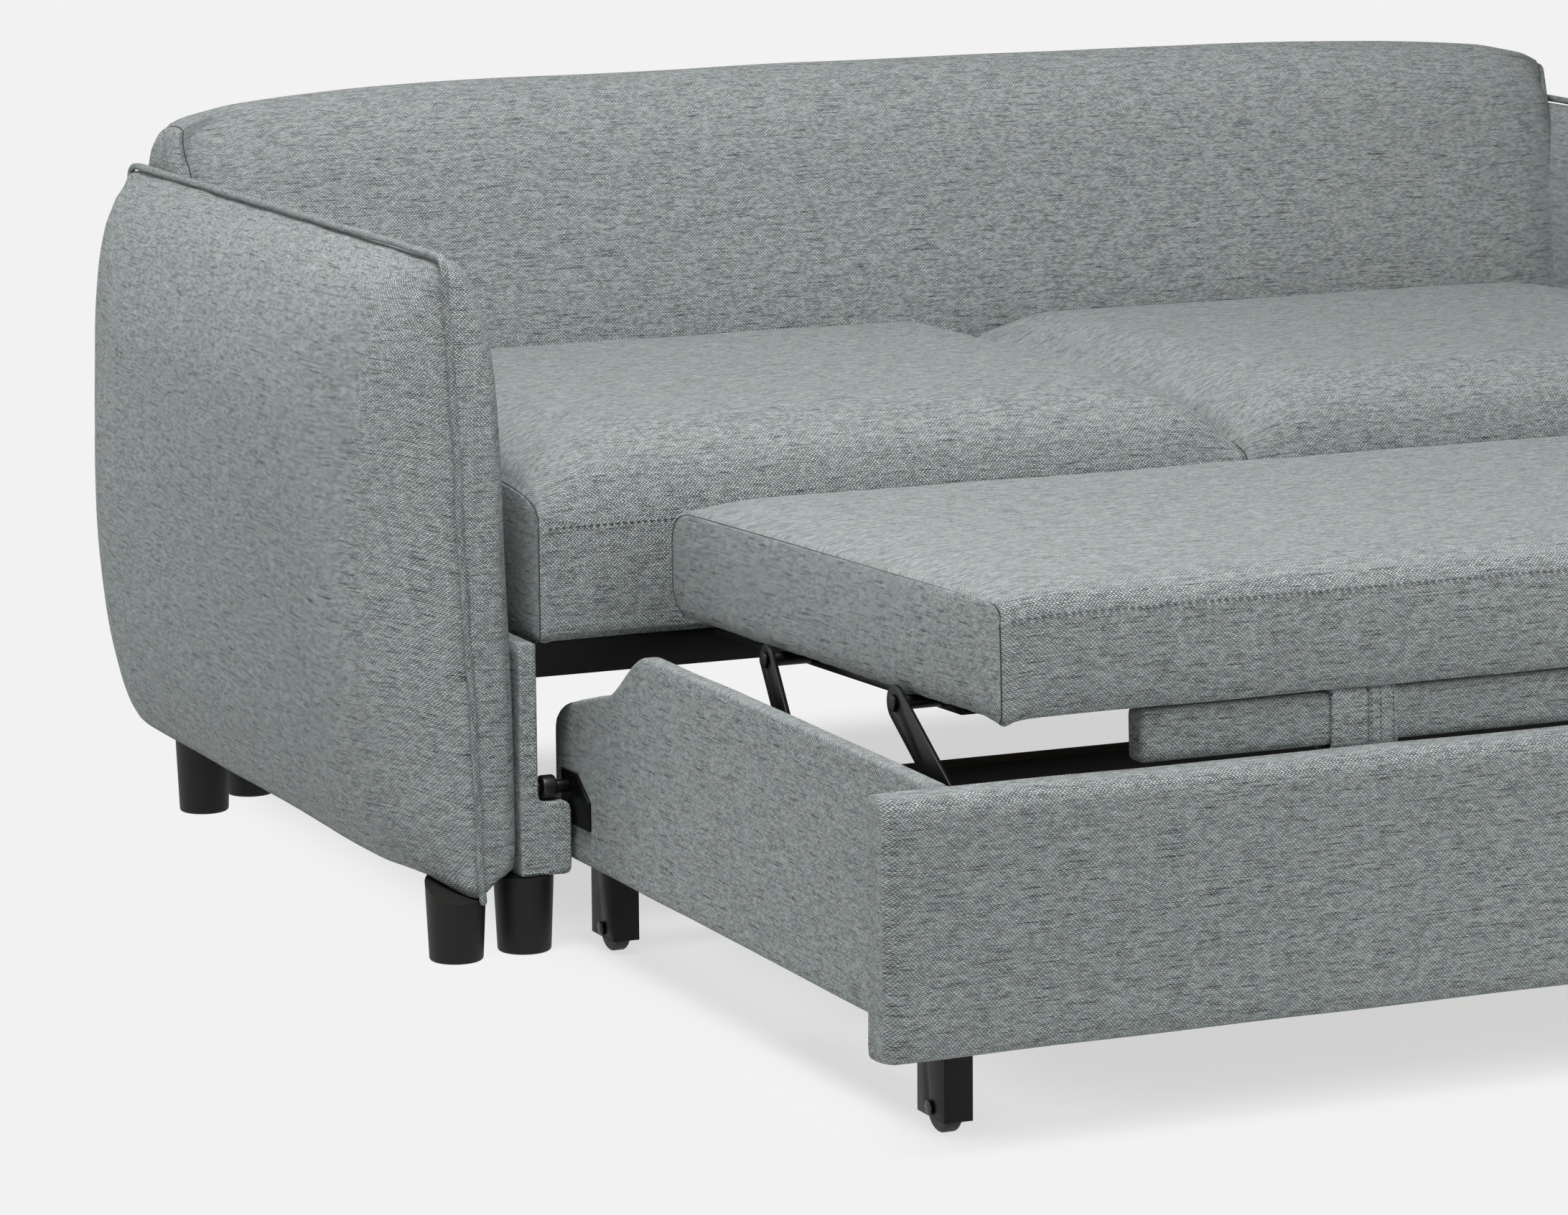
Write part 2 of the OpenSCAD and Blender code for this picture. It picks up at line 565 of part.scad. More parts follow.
leg_in = side_inner - 0.5 - wheel_leg_w;
front_tube = [panel_rear + 3, panel_bottom + 5, 28, 28];
rear_tube = [wheel_rear_y - 25, side_bottom + 28, 30, 34];
tube_wall = 2;
module cross_tube(t) {
    color("#161616") difference() {
        box(-leg_in + fit, leg_in - fit, t[0], t[0] + t[2], t[1], t[1] + t[3]);
        box(-far, far, t[0] + tube_wall, t[0] + t[2] - tube_wall, t[1] + tube_wall, t[1] + t[3] - tube_wall);
    }
}
module front_cross_tube() { cross_tube(front_tube); }
module rear_cross_tube() { cross_tube(rear_tube); }
module wheel_leg(y) {
    color("#1d1b1a") difference() {
        box(leg_in, leg_in + wheel_leg_w, y - wheel_leg_d / 2, y + wheel_leg_d / 2, wheel_leg_z, wheel_leg_top);
        box(leg_in + wheel_leg_wall, leg_in + wheel_leg_w - wheel_leg_wall,
            y - wheel_leg_d / 2 + wheel_leg_wall, y + wheel_leg_d / 2 - wheel_leg_wall, -far, far);
        pin_x(leg_in - 5, leg_in + wheel_leg_w + 5, [y, axle_z], axle_d + 0.16);
    }
}
module wheel_leg_front_left() { mirror([1, 0, 0]) wheel_leg(wheel_front_y); }
module wheel_leg_front_right() { wheel_leg(wheel_front_y); }
module wheel_leg_rear_left() { mirror([1, 0, 0]) wheel_leg(wheel_rear_y); }
module wheel_leg_rear_right() { wheel_leg(wheel_rear_y); }
module wheel_axles() {
    color("#c3c5c6") both() for (y = [wheel_front_y, wheel_rear_y]) {
        pin_x(leg_in - 1.5, leg_in + wheel_leg_w + 0.5, [y, axle_z], axle_d);
        pin_x(leg_in + wheel_leg_w + 0.4, leg_in + wheel_leg_w + 3, [y, axle_z], 12);
        pin_x(leg_in - 4, leg_in - 0.4, [y, axle_z], 12);
    }
}
wheel_x = leg_in + wheel_leg_w / 2;
module wheel(y) {
    w = wheel_w / 2;
    b = axle_d / 2 + run_gap;
    r = wheel_d / 2;
    color("#0e0e0e") translate([wheel_x, y, axle_z]) rotate([0, 90, 0]) rotate_extrude($fn = 64)
        polygon([[b, -w], [r - 2, -w], [r, -w + 2], [r, w - 2], [r - 2, w], [b, w]]);
}
module wheel_front_left() { mirror([1, 0, 0]) wheel(wheel_front_y); }
module wheel_front_right() { wheel(wheel_front_y); }
module wheel_rear_left() { mirror([1, 0, 0]) wheel(wheel_rear_y); }
module wheel_rear_right() { wheel(wheel_rear_y); }

// Guide rollers that run on the ledges of the side rails.
module roller_brackets() {
    color("#141414") both() difference() {
        translate([side_outer + 0.3, roller_y, roller_z]) rotate([90, 0, 90]) linear_extrude(height = 3)
            polygon([[-46, -34], [18, -34], [18, 12.6], [-16, 12.6], [-46, -8]]);
        pin_x(side_outer - 1, side_outer + 5, [roller_y, roller_z], 8.2);
    }
}
module roller_pins() {
    color("#1c1c1c") both() {
        pin_x(side_outer + 0.5, roller_x + roller_w / 2 + 2.4, [roller_y, roller_z], 8);
        pin_x(side_outer + 3.7, roller_x - roller_w / 2 - 0.6, [roller_y, roller_z], 12);
        pin_x(roller_x + roller_w / 2 + 0.6, roller_x + roller_w / 2 + 3.6, [roller_y, roller_z], 13);
    }
}
module guide_roller() {
    w = roller_w / 2;
    b = 4 + run_gap;
    r = roller_d / 2;
    color("#0d0d0d") translate([roller_x, roller_y, roller_z]) rotate([0, 90, 0]) rotate_extrude($fn = 64)
        polygon([[b, -w], [r - 1.5, -w], [r, -w + 1.5], [r, w - 1.5], [r - 1.5, w], [b, w]]);
}
module guide_roller_left() { mirror([1, 0, 0]) guide_roller(); }
module guide_roller_right() { guide_roller(); }

// Steel angles on the side panels that carry the lower link pivots.
module link_rails() {
    color("#161616") both() difference() {
        union() {
            box(plate_x, plate_x + rail_plate, pl_f[0] - 20, pl_r[0] + 30, pl_r[1] - 16, pl_f[1] + 16);
            box(plate_x + rail_plate - eps, side_inner - fit, pl_f[0] - 20, pl_r[0] + 30,
                pl_r[1] - 16, pl_r[1] - 16 + rail_plate);
        }
        for (p = [pl_f, pl_r]) pin_x(plate_x - 5, plate_x + 5, p, pin_d + 0.16);
    }
}
module lower_pivot_pins() {
    color("#1c1c1c") both() for (p = [pl_f, pl_r]) {
        pin_x(link_x - link_t / 2 - 1, plate_x + 5, p, pin_d);
        pin_x(link_x - link_t / 2 - 3.4, link_x - link_t / 2 - 0.4, p, 15);
        pin_x(plate_x + 3.4, plate_x + 6.4, p, 14);
    }
}
// Cranked links; both pairs have the same pivot distance.
module link(low, knee, top, w) {
    color("#0f0f0f") difference() {
        translate([link_x - link_t / 2, 0, 0]) rotate([90, 0, 90])
            linear_extrude(height = link_t) polygon(bent_bar(low, knee, top, w / 2));
        for (p = [low, top]) pin_x(link_x - 20, link_x + 20, p, pin_d + 2 * run_gap);
    }
}
knee_f = [pu_f[0] - 0.75 * link_reach, pu_f[1] - 0.5 * link_rise];
knee_r = [pu_r[0] - 37, pu_r[1] - 55];
module front_link_left() { mirror([1, 0, 0]) link(pl_f, knee_f, pu_f, front_link_w); }
module front_link_right() { link(pl_f, knee_f, pu_f, front_link_w); }
module rear_link_left() { mirror([1, 0, 0]) link(pl_r, knee_r, pu_r, rear_link_w); }
module rear_link_right() { link(pl_r, knee_r, pu_r, rear_link_w); }

// Everything on the platform is drawn level and then tilted as one.
module on_platform() { translate([0, mat_rear, mat_low]) rotate([-tilt, 0, 0]) children(); }
function local_y(p) = let (dy = p[0] - mat_rear, dz = p[1] - mat_low) dy * cos(tilt) - dz * sin(tilt);
function local_z(p) = let (dy = p[0] - mat_rear, dz = p[1] - mat_low) dy * sin(tilt) + dz * cos(tilt);
rail_w = 25;
rail_x = mat_half - 55;
rail_end = -pivot_reach - 37;
rail_z = [-16.4, -0.5];
module upper_pivot_pins() {
    color("#1c1c1c") both() for (p = [pu_f, pu_r]) {
        pin_x(rail_x - 1, link_x + link_t / 2 + 1, p, pin_d);
        pin_x(link_x + link_t / 2 + 0.4, link_x + link_t / 2 + 3, p, 14);
        pin_x(rail_x + rail_w + fit, link_x - link_t / 2 - fit, p, 12);
        pin_x(rail_x - 3.6, rail_x - 0.4, p, 12);
    }
}
module platform_rails() {
    color("#111111") both() difference() {
        on_platform() difference() {
            box(rail_x, rail_x + rail_w, rail_end, deck_rear, rail_z[0], rail_z[1]);
            box(rail_x + 2, rail_x + rail_w - 2, -far, far, rail_z[0] + 2, rail_z[1] - 2);
        }
        for (p = [pu_f, pu_r]) pin_x(rail_x - 5, rail_x + 30, p, pin_d + 0.16);
    }
}
module platform_crossbars() {
    color("#111111") on_platform() for (y = [deck_rear - 26, rail_end + 254, rail_end + 24])
        difference() {
            box(-rail_x + fit, rail_x - fit, y - 12, y + 12, rail_z[0], rail_z[1]);
            box(-rail_x - 1, rail_x + 1, y - 10, y + 10, rail_z[0] + 2, rail_z[1] - 2);
            for (s = [-1, 1]) for (p = [pu_f, pu_r])
                translate([s * rail_x, local_y(p), local_z(p)]) rotate([0, 90, 0])
                    cylinder(h = 9, d = 15, center = true);
        }
}
deck_half = rail_x - 6;
deck_front = -mat_len + 14;
deck_rear = -24;
module deck_board() {
    color("#c9a97a") on_platform() difference() {
        box(-deck_half, deck_half, deck_front, deck_rear, fit, deck_t);
        for (x = grip_x) translate([x, grip_local, -1]) cylinder(h = 10, d = 5.2);
    }
}
module pullout_mattress() {
    color("#7d8784") on_platform() difference() {
        translate([0, -mat_len, 0]) pad(-mat_half, mat_half, 0, mat_len, 0, mat_t, mat_crown, 24, 5,
            mat_t * 0.86);
        box(-deck_half - 0.6, deck_half + 0.6, deck_front - 0.6, deck_rear + 0.6, -1, deck_t + 0.6);
    }
}
// Fabric covered grip board under the front edge, fixed up into the deck board.
grip_x = [for (k = [-1, -1 / 3, 1 / 3, 1]) k * (grip_half - 54)];
grip_local = -mat_len + 22;
module grip_board() {
    color("#78827f") on_platform() difference() {
        translate([-grip_half, grip_local, 0]) rotate([90, 0, 90]) linear_extrude(height = 2 * grip_half)
            polygon(concat(corner(grip_t / 2 - 4, -4 - 4, 4, 0), corner(-grip_t / 2 + 4, -8, 4, 90),
                corner(-grip_t / 2 + 6, -4 - grip_h + 6, 6, 180), corner(grip_t / 2 - 6, -4 - grip_h + 6, 6, 270)));
        for (x = grip_x) translate([x, grip_local, -80]) cylinder(h = 90, d = 5.2);
        for (x = grip_x) translate([x, grip_local, -80]) cylinder(h = 40, d = 10.4);
    }
}
module grip_screws() {
    color("#b9bcbd") on_platform() for (x = grip_x) translate([x, grip_local, -40]) {
        cylinder(h = 48, d = 5);
        translate([0, 0, -3]) cylinder(h = 3 + eps, d = 10);
    }
}
module pull_straps() {
    color("#727c79") on_platform() for (x = [-strap_x, strap_x]) translate([x, grip_local, 0])
        difference() {
            rotate([90, 0, 90]) linear_extrude(height = strap_w, center = true)
                polygon(concat(corner(grip_t / 2 - 2, -6, 5, 0), corner(-grip_t / 2 + 2, -6, 5, 90),
                    corner(-grip_t / 2 + 4, -4 - grip_h + 4, 7.5, 180), corner(grip_t / 2 - 4, -4 - grip_h + 4, 7.5, 270)));
            rotate([90, 0, 90]) linear_extrude(height = strap_w + 2, center = true)
                polygon(concat(corner(grip_t / 2 - 4, -8, 4.4, 0), corner(-grip_t / 2 + 4, -8, 4.4, 90),
                    corner(-grip_t / 2 + 6, -4 - grip_h + 6, 6.4, 180), corner(grip_t / 2 - 6, -4 - grip_h + 6, 6.4, 270)));
        }
}

arm_left();
arm_right();
arm_welt_left();
arm_welt_right();
arm_frame_left();
arm_frame_right();
arm_bolts();
backrest();
back_board();
rear_panel();
seat_cushion_left();
seat_cushion_right();
side_rail_left();
side_rail_right();
front_beam();
rear_beam();
centre_beam();
corner_brackets();
seat_slats();
arm_leg_front_left();
arm_leg_front_right();
arm_leg_rear_left();
arm_leg_rear_right();
base_leg_front_left();
base_leg_front_right();
base_leg_rear_left();
base_leg_rear_right();
leg_bolts();
trundle_front_panel();
trundle_side_left();
trundle_side_right();
front_cross_tube();
rear_cross_tube();
wheel_leg_front_left();
wheel_leg_front_right();
wheel_leg_rear_left();
wheel_leg_rear_right();
wheel_axles();
wheel_front_left();
wheel_front_right();
wheel_rear_left();
wheel_rear_right();
roller_brackets();
roller_pins();
guide_roller_left();
guide_roller_right();
link_rails();
lower_pivot_pins();
front_link_left();
front_link_right();
rear_link_left();
rear_link_right();
upper_pivot_pins();
platform_rails();
platform_crossbars();
deck_board();
pullout_mattress();
grip_board();
grip_screws();
pull_straps();
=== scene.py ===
"""Looks of a two-seat sofa bed with its trundle pulled out and its mattress raised.

Places are metres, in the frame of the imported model: X along the sofa, Y from front to
back, Z up, floor at zero. Tables of outline points and the sizes in the classes are
millimetres. Each sub-assembly is a class with its sizes as fields.
"""

import json
import logging
import math
from dataclasses import dataclass, field
from enum import Enum
from typing import Sequence

import bmesh
import bpy
import numpy as np
from mathutils import Matrix, Vector, noise

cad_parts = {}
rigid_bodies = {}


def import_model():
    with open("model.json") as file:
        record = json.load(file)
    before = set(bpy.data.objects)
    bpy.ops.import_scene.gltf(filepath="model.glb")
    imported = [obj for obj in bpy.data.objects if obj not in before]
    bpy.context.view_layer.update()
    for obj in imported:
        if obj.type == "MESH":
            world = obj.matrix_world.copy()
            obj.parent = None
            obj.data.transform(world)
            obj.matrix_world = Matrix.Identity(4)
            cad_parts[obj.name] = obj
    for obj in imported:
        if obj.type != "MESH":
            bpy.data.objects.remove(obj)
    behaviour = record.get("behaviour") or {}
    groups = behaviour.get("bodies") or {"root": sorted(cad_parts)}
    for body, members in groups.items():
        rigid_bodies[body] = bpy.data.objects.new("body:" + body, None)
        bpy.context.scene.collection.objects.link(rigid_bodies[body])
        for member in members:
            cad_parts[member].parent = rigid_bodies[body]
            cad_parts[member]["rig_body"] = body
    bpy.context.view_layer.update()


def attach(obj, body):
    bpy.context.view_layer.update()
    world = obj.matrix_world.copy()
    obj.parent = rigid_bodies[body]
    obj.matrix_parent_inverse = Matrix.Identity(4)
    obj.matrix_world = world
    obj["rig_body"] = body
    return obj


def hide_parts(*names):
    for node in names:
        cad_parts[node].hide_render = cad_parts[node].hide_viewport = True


LOG = logging.getLogger("sofa_bed")
MM = 0.001
Point = tuple[float, float]
Sides = Sequence[Sequence[Sequence[Point]]]  # the four sides of an outline, each a row of curves
Counts = Sequence[Sequence[int]]  # the number of steps in each of those curves


class Slot(Enum):
    """The record's material slots."""

    FABRIC = "upholstery_fabric"
    STEEL = "black_steel"
    LEG = "leg_finish"
    ZINC = "zinc_steel"
    TIMBER = "timber"
    RUBBER = "wheel_rubber"
    NYLON = "black_nylon"


class Side(Enum):
    """Left or right of the sofa, as the sign of X."""

    LEFT = -1
    RIGHT = 1


# ---------------------------------------------------------------- materials


def linear(code: str) -> tuple[float, float, float, float]:
    """Turn an sRGB hex value into linear colour.

    Args:
        code: Colour such as "#8c9292".

    Returns:
        Red, green, blue and alpha.
    """
    parts = [int(code[i : i + 2], 16) / 255 for i in (1, 3, 5)]
    low = [c / 12.92 if c <= 0.04045 else ((c + 0.055) / 1.055) ** 2.4 for c in parts]
    return (*low, 1.0)


def per_metre(*sizes: float) -> tuple[float, ...]:
    """Noise scales of a pattern whose sizes are given in millimetres."""
    return tuple(1 / (size * MM) for size in sizes)


def feed(tree: bpy.types.NodeTree, node: bpy.types.Node, feeds: dict | tuple) -> None:
    """Set or link the inputs of a node.

    Args:
        tree: Node tree of the node.
        node: The node.
        feeds: Values, sockets or nodes by input name or number, or a plain row of them
            for the first inputs. A node stands for its first output.
    """
    for name, value in (feeds if isinstance(feeds, dict) else dict(enumerate(feeds))).items():
        if isinstance(value, bpy.types.Node):
            value = value.outputs[0]
        if isinstance(value, bpy.types.NodeSocket):
            tree.links.new(value, node.inputs[name])
        else:
            node.inputs[name].default_value = value


def add_node(tree: bpy.types.NodeTree, kind: str, feeds: dict | tuple = (), **settings) -> bpy.types.Node:
    """Add a node with its settings and links.

    Args:
        tree: Node tree that gets the node.
        kind: Node type without its "ShaderNode" prefix, with its operation after a dot
            where it has one.
        feeds: What its inputs get, as feed takes it.
        **settings: Properties of the node.

    Returns:
        The new node.
    """
    kind, _, operation = kind.partition(".")
    node = tree.nodes.new("ShaderNode" + kind)
    if operation:
        node.operation = operation
    for name, value in settings.items():
        setattr(node, name, value)
    feed(tree, node, feeds)
    return node


def new_material(name: str) -> tuple[bpy.types.Material, bpy.types.NodeTree, bpy.types.Node]:
    """Start a node material.

    Args:
        name: Name of the material.

    Returns:
        The material, its node tree and its Principled shader.
    """
    made = bpy.data.materials.new(name)
    made.use_nodes = True
    return made, made.node_tree, made.node_tree.nodes["Principled BSDF"]


@dataclass(frozen=True)
class WovenCloth:
    """Heathered polyester upholstery cloth in a broken twill.

    The short slanted floats are painted lighter on their crowns and darker in the gaps between them, a painted
    highlight and painted shade over their relief; darker yarns run as fine streaks along the weft, and the fibre ends
    give a soft sheen at grazing angles.
    It reads the piece's own map, whose unit is a metre along and across the weft.
    Sizes are millimetres. Single fibres are too fine to show, so yarns are drawn whole.
    """

    name: str = "woven_cloth"
    # Ends of the cloth's colour: float crowns run towards bright as a painted highlight, and the gaps between floats
    # run towards deep as painted shade
    bright: str = "#d3dbda"
    deep: str = "#2b3332"
    float_along: float = 3.3  # spacing of the floats in a row
    float_across: float = 1.7  # pitch of the weft rows
    slant: float = 0.75  # how far a float leans over one row, in floats
    streaks: float = 0.40  # darkness of the dark yarns
    relief: float = 1.1  # height of a float
    wander: float = 9.09  # size of the small shifts that keep the rows from looking ruled
    shifts: tuple[float, float] = (2.6, 1.3)
    slub: tuple[float, float] = (38.46, 1.4286)  # a dark yarn's length and thickness
    cloud: tuple[float, float] = (16.667, 5.882)  # soft patches of lighter wool
    rough: float = 0.92
    specular: float = 0.22
    sheen: float = 0.16
    sheen_rough: float = 0.42
    sheen_tint: str = "#c4cccb"

    def make(self) -> bpy.types.Material:
        """Build the material."""
        made, tree, shader = new_material(self.name)
        flat = {"noise_dimensions": "2D"}
        place = add_node(tree, "UVMap", uv_map="weave")
        small = {"Vector": place, "Scale": per_metre(self.wander)[0], "Detail": 2.0}
        wander = add_node(tree, "TexNoise", small, **flat).outputs["Color"]
        shift = add_node(tree, "VectorMath.SUBTRACT", (wander, (0.5, 0.5, 0.5)))
        reach = (*(size * MM for size in self.shifts), 0.0)
        moved = add_node(tree, "VectorMath.MULTIPLY_ADD", (shift, reach, place))
        loose = add_node(tree, "SeparateXYZ", (moved,))
        rows = add_node(tree, "Math.DIVIDE", (loose.outputs[1], self.float_across * MM))
        row = add_node(tree, "Math.FLOOR", (rows,))
        inside = add_node(tree, "Math.FRACT", (rows,))
        parity = add_node(tree, "Math.PINGPONG", (row, 1.0))
        # Every second row leans the other way and starts half a float further on.
        lean = add_node(tree, "Math.MULTIPLY_ADD", (parity, 2 * self.slant, -self.slant))
        along = add_node(tree, "Math.DIVIDE", (loose.outputs[0], self.float_along * MM))
        slid = add_node(tree, "Math.MULTIPLY_ADD", (inside, lean, along))
        turned = add_node(tree, "Math.MULTIPLY_ADD", (parity, 0.5 - self.slant, slid))
        stagger = add_node(tree, "TexWhiteNoise", {"W": row}, noise_dimensions="1D")
        step = add_node(tree, "Math.MULTIPLY_ADD", (stagger, 0.12, turned))
        humps = [
            add_node(tree, "Math.POWER", (add_node(tree, "Math.SINE", (half_turn,)), sharpness))
            for half_turn, sharpness in (
                (add_node(tree, "Math.MULTIPLY", (add_node(tree, "Math.FRACT", (step,)), math.pi)), 0.9),
                (add_node(tree, "Math.MULTIPLY", (inside, math.pi)), 0.15),
            )
        ]
        hump = add_node(tree, "Math.MULTIPLY", tuple(humps))
        cell = add_node(tree, "CombineXYZ", (add_node(tree, "Math.FLOOR", (step,)), row, 0.0))
        yarn = add_node(tree, "TexWhiteNoise", {"Vector": cell}, **flat)
        slub, cloud = (
            add_node(tree, "TexNoise", {
                "Vector": add_node(tree, "Mapping", {0: place, "Scale": (*per_metre(*size), 1.0)}),
                "Scale": 1.0, "Detail": detail, "Roughness": rough,
            }, **flat)
            for size, detail, rough in ((self.slub, 3.0, 0.6), (self.cloud, 2.0, 0.5))
        )  # fmt: skip
        dark = {"Value": slub, "From Min": 0.58, "From Max": 0.70, "To Min": 0.0, "To Max": self.streaks}
        # Painted light and shade: the tone follows each float's hump, lighter on its crown and darker in the gaps
        # between floats; yarn, cloud and slub below are the cloth's own colour
        tone = add_node(tree, "Math.MULTIPLY_ADD", (hump, 0.86, -0.15))
        tone = add_node(tree, "Math.MULTIPLY_ADD", (yarn, 0.36, tone))
        patch = add_node(tree, "Math.SUBTRACT", (cloud, 0.5))
        tone = add_node(tree, "Math.MULTIPLY_ADD", (patch, 0.30, tone))
        tone = add_node(tree, "Math.SUBTRACT", (tone, add_node(tree, "MapRange", dark)))
        ends = {0: tone, 6: linear(self.deep), 7: linear(self.bright)}
        height = add_node(tree, "Math.MULTIPLY_ADD", (yarn, 0.35, hump))
        feed(tree, shader, {
            "Base Color": add_node(tree, "Mix", ends, data_type="RGBA", clamp_factor=True).outputs[2],
            "Normal": add_node(tree, "Bump", {"Height": height, "Distance": self.relief * MM, "Strength": 1.0}),
            "Roughness": self.rough,
            "Specular IOR Level": self.specular,
            "Sheen Weight": self.sheen,
            "Sheen Roughness": self.sheen_rough,
            "Sheen Tint": linear(self.sheen_tint),
        })  # fmt: skip
        return made


@dataclass(frozen=True)
class CoatedSteel:
    """Mild steel with a black powder coat: deep black, softly glossy, faint orange peel."""

    name: str = "black_powder_coat"
    colour: str = "#060606"
    rough: float = 0.40
    specular: float = 0.2
    peel: float = 1.6  # size of the orange peel, mm
    wear: float = 41.667  # size of the duller patches, mm
    relief: float = 0.06  # height of the peel, mm

    def make(self) -> bpy.types.Material:
        """Build the material."""
        made, tree, shader = new_material(self.name)
        place = add_node(tree, "TexCoord").outputs["Object"]
        peel, wear = (
            add_node(tree, "TexNoise", {"Vector": place, "Scale": per_metre(size)[0], "Detail": detail})
            for size, detail in ((self.peel, 2.0), (self.wear, 4.0))
        )
        gloss = {"Value": wear, "To Min": self.rough - 0.08, "To Max": self.rough + 0.12}
        feed(tree, shader, {
            "Base Color": linear(self.colour),
            "Roughness": add_node(tree, "MapRange", gloss),
            "Normal": add_node(tree, "Bump", {"Height": peel, "Distance": self.relief * MM, "Strength": 0.6}),
            "Specular IOR Level": self.specular,
        })  # fmt: skip
        return made


@dataclass(frozen=True)
class GrainedFinish:
    """A finish whose colour, gloss and relief all follow one grain, in the piece's own place."""

    name: str
    dark: str
    light: str
    grain: tuple[float, float, float]  # size of the grain along X, Y and Z, mm
    rough: tuple[float, float]
    relief: float  # height of the grain, mm
    strength: float = 0.5
    detail: float = 2.0
    bend: float = 0.0  # how much the grain wanders
    specular: float = 0.5
    metallic: float = 0.0

    def make(self) -> bpy.types.Material:
        """Build the material."""
        made, tree, shader = new_material(self.name)
        place = add_node(tree, "TexCoord").outputs["Object"]
        stretched = add_node(tree, "Mapping", {0: place, "Scale": per_metre(*self.grain)})
        form = {"Vector": stretched, "Scale": 1.0, "Detail": self.detail, "Distortion": self.bend}
        grain = add_node(tree, "TexNoise", form)
        bump = {"Height": grain, "Distance": self.relief * MM, "Strength": self.strength}
        feeds = {
            "Base Color": linear(self.dark),
            "Roughness": self.rough[0],
            "Normal": add_node(tree, "Bump", bump),
            "Specular IOR Level": self.specular,
            "Metallic": self.metallic,
        }
        if self.light != self.dark:
            ends = {0: grain, 6: linear(self.dark), 7: linear(self.light)}
            feeds["Base Color"] = add_node(tree, "Mix", ends, data_type="RGBA").outputs[2]
        if self.rough[0] != self.rough[1]:
            gloss = {"Value": grain, "To Min": self.rough[0], "To Max": self.rough[1]}
            feeds["Roughness"] = add_node(tree, "MapRange", gloss)
        feed(tree, shader, feeds)
        return made


@dataclass(frozen=True)
class LacqueredLeg(GrainedFinish):
    """Turned beech with a matt black lacquer: brown-black, faint grain along the leg.

    The pores are drawn wider than real ones, so that the grain shows through the black.
    """

    name: str = "black_lacquered_beech"
    dark: str = "#121110"
    light: str = "#181615"
    grain: tuple[float, float, float] = (3.846, 3.846, 71.43)
    rough: tuple[float, float] = (0.5, 0.62)
    relief: float = 0.08
    detail: float = 3.0
    specular: float = 0.3


@dataclass(frozen=True)
class ZincSteel(GrainedFinish):
    """Bright zinc-plated steel: pale metal with a cloudy sparkle, drawn coarser than it is."""

    name: str = "zinc_plated_steel"
    dark: str = "#c8cacb"
    light: str = "#c8cacb"
    grain: tuple[float, float, float] = (2.381, 2.381, 2.381)
    rough: tuple[float, float] = (0.24, 0.42)
    relief: float = 0.05
    detail: float = 4.0
    metallic: float = 1.0


@dataclass(frozen=True)
class Plywood(GrainedFinish):
    """Plywood and pine boards, planed: pale, with growth lines stretched along the board."""

    name: str = "pine_plywood"
    dark: str = "#b8945f"
    light: str = "#d8bd8e"
    grain: tuple[float, float, float] = (208.3, 13.02, 10.417)
    rough: tuple[float, float] = (0.7, 0.7)
    relief: float = 0.2
    strength: float = 0.4
    detail: float = 6.0
    bend: float = 1.2


@dataclass(frozen=True)
class MouldedBlack(GrainedFinish):
    """Black rubber or nylon from a fine-etched mould: soft small glints.

    The etching is a few tenths of a millimetre and is drawn coarser, so that it shows.
    """

    grain: tuple[float, float, float] = (1.111, 1.111, 1.111)
    rough: tuple[float, float] = (0.54, 0.68)
    relief: float = 0.06
    strength: float = 0.7


@dataclass
class Wardrobe:
    """All finishes of the object, made once."""

    cloth: bpy.types.Material = field(default_factory=WovenCloth().make)
    # Piping cloth: the upholstery cloth with less lean, fewer streaks and less relief, and a darker light end as
    # painted shade that tones down the light the upturned cord catches
    shaded_cord_cloth: bpy.types.Material = field(
        default_factory=WovenCloth("shaded_cord_cloth", "#b4bcbb", slant=0.3, streaks=0.1, relief=0.5).make
    )
    thread: bpy.types.Material = field(
        default_factory=WovenCloth("sewing_thread", "#949c9b", "#4a5252", 0.9, 0.5, 0.9, 0.0, 0.2).make
    )
    # Dark thread: the cords in the end seams are painted shadow lines, and the strap stitches use the same dark thread
    shadow_thread: bpy.types.Material = field(
        default_factory=WovenCloth("seam_shadow_thread", "#666e6d", "#2c3333", 0.9, 0.5, 0.9, 0.0, 0.2).make
    )
    steel: bpy.types.Material = field(default_factory=CoatedSteel().make)
    leg: bpy.types.Material = field(default_factory=LacqueredLeg().make)
    zinc: bpy.types.Material = field(default_factory=ZincSteel().make)
    dark_zinc: bpy.types.Material = field(
        default_factory=ZincSteel("black_zinc_steel", "#3a3b3c", "#3a3b3c").make
    )
    timber: bpy.types.Material = field(default_factory=Plywood().make)
    rubber: bpy.types.Material = field(
        default_factory=MouldedBlack("moulded_rubber", "#121212", "#121212").make
    )
    nylon: bpy.types.Material = field(
        default_factory=MouldedBlack("moulded_nylon", "#0d0d0d", "#0d0d0d", rough=(0.32, 0.46)).make
    )


# ---------------------------------------------------------------- shapes


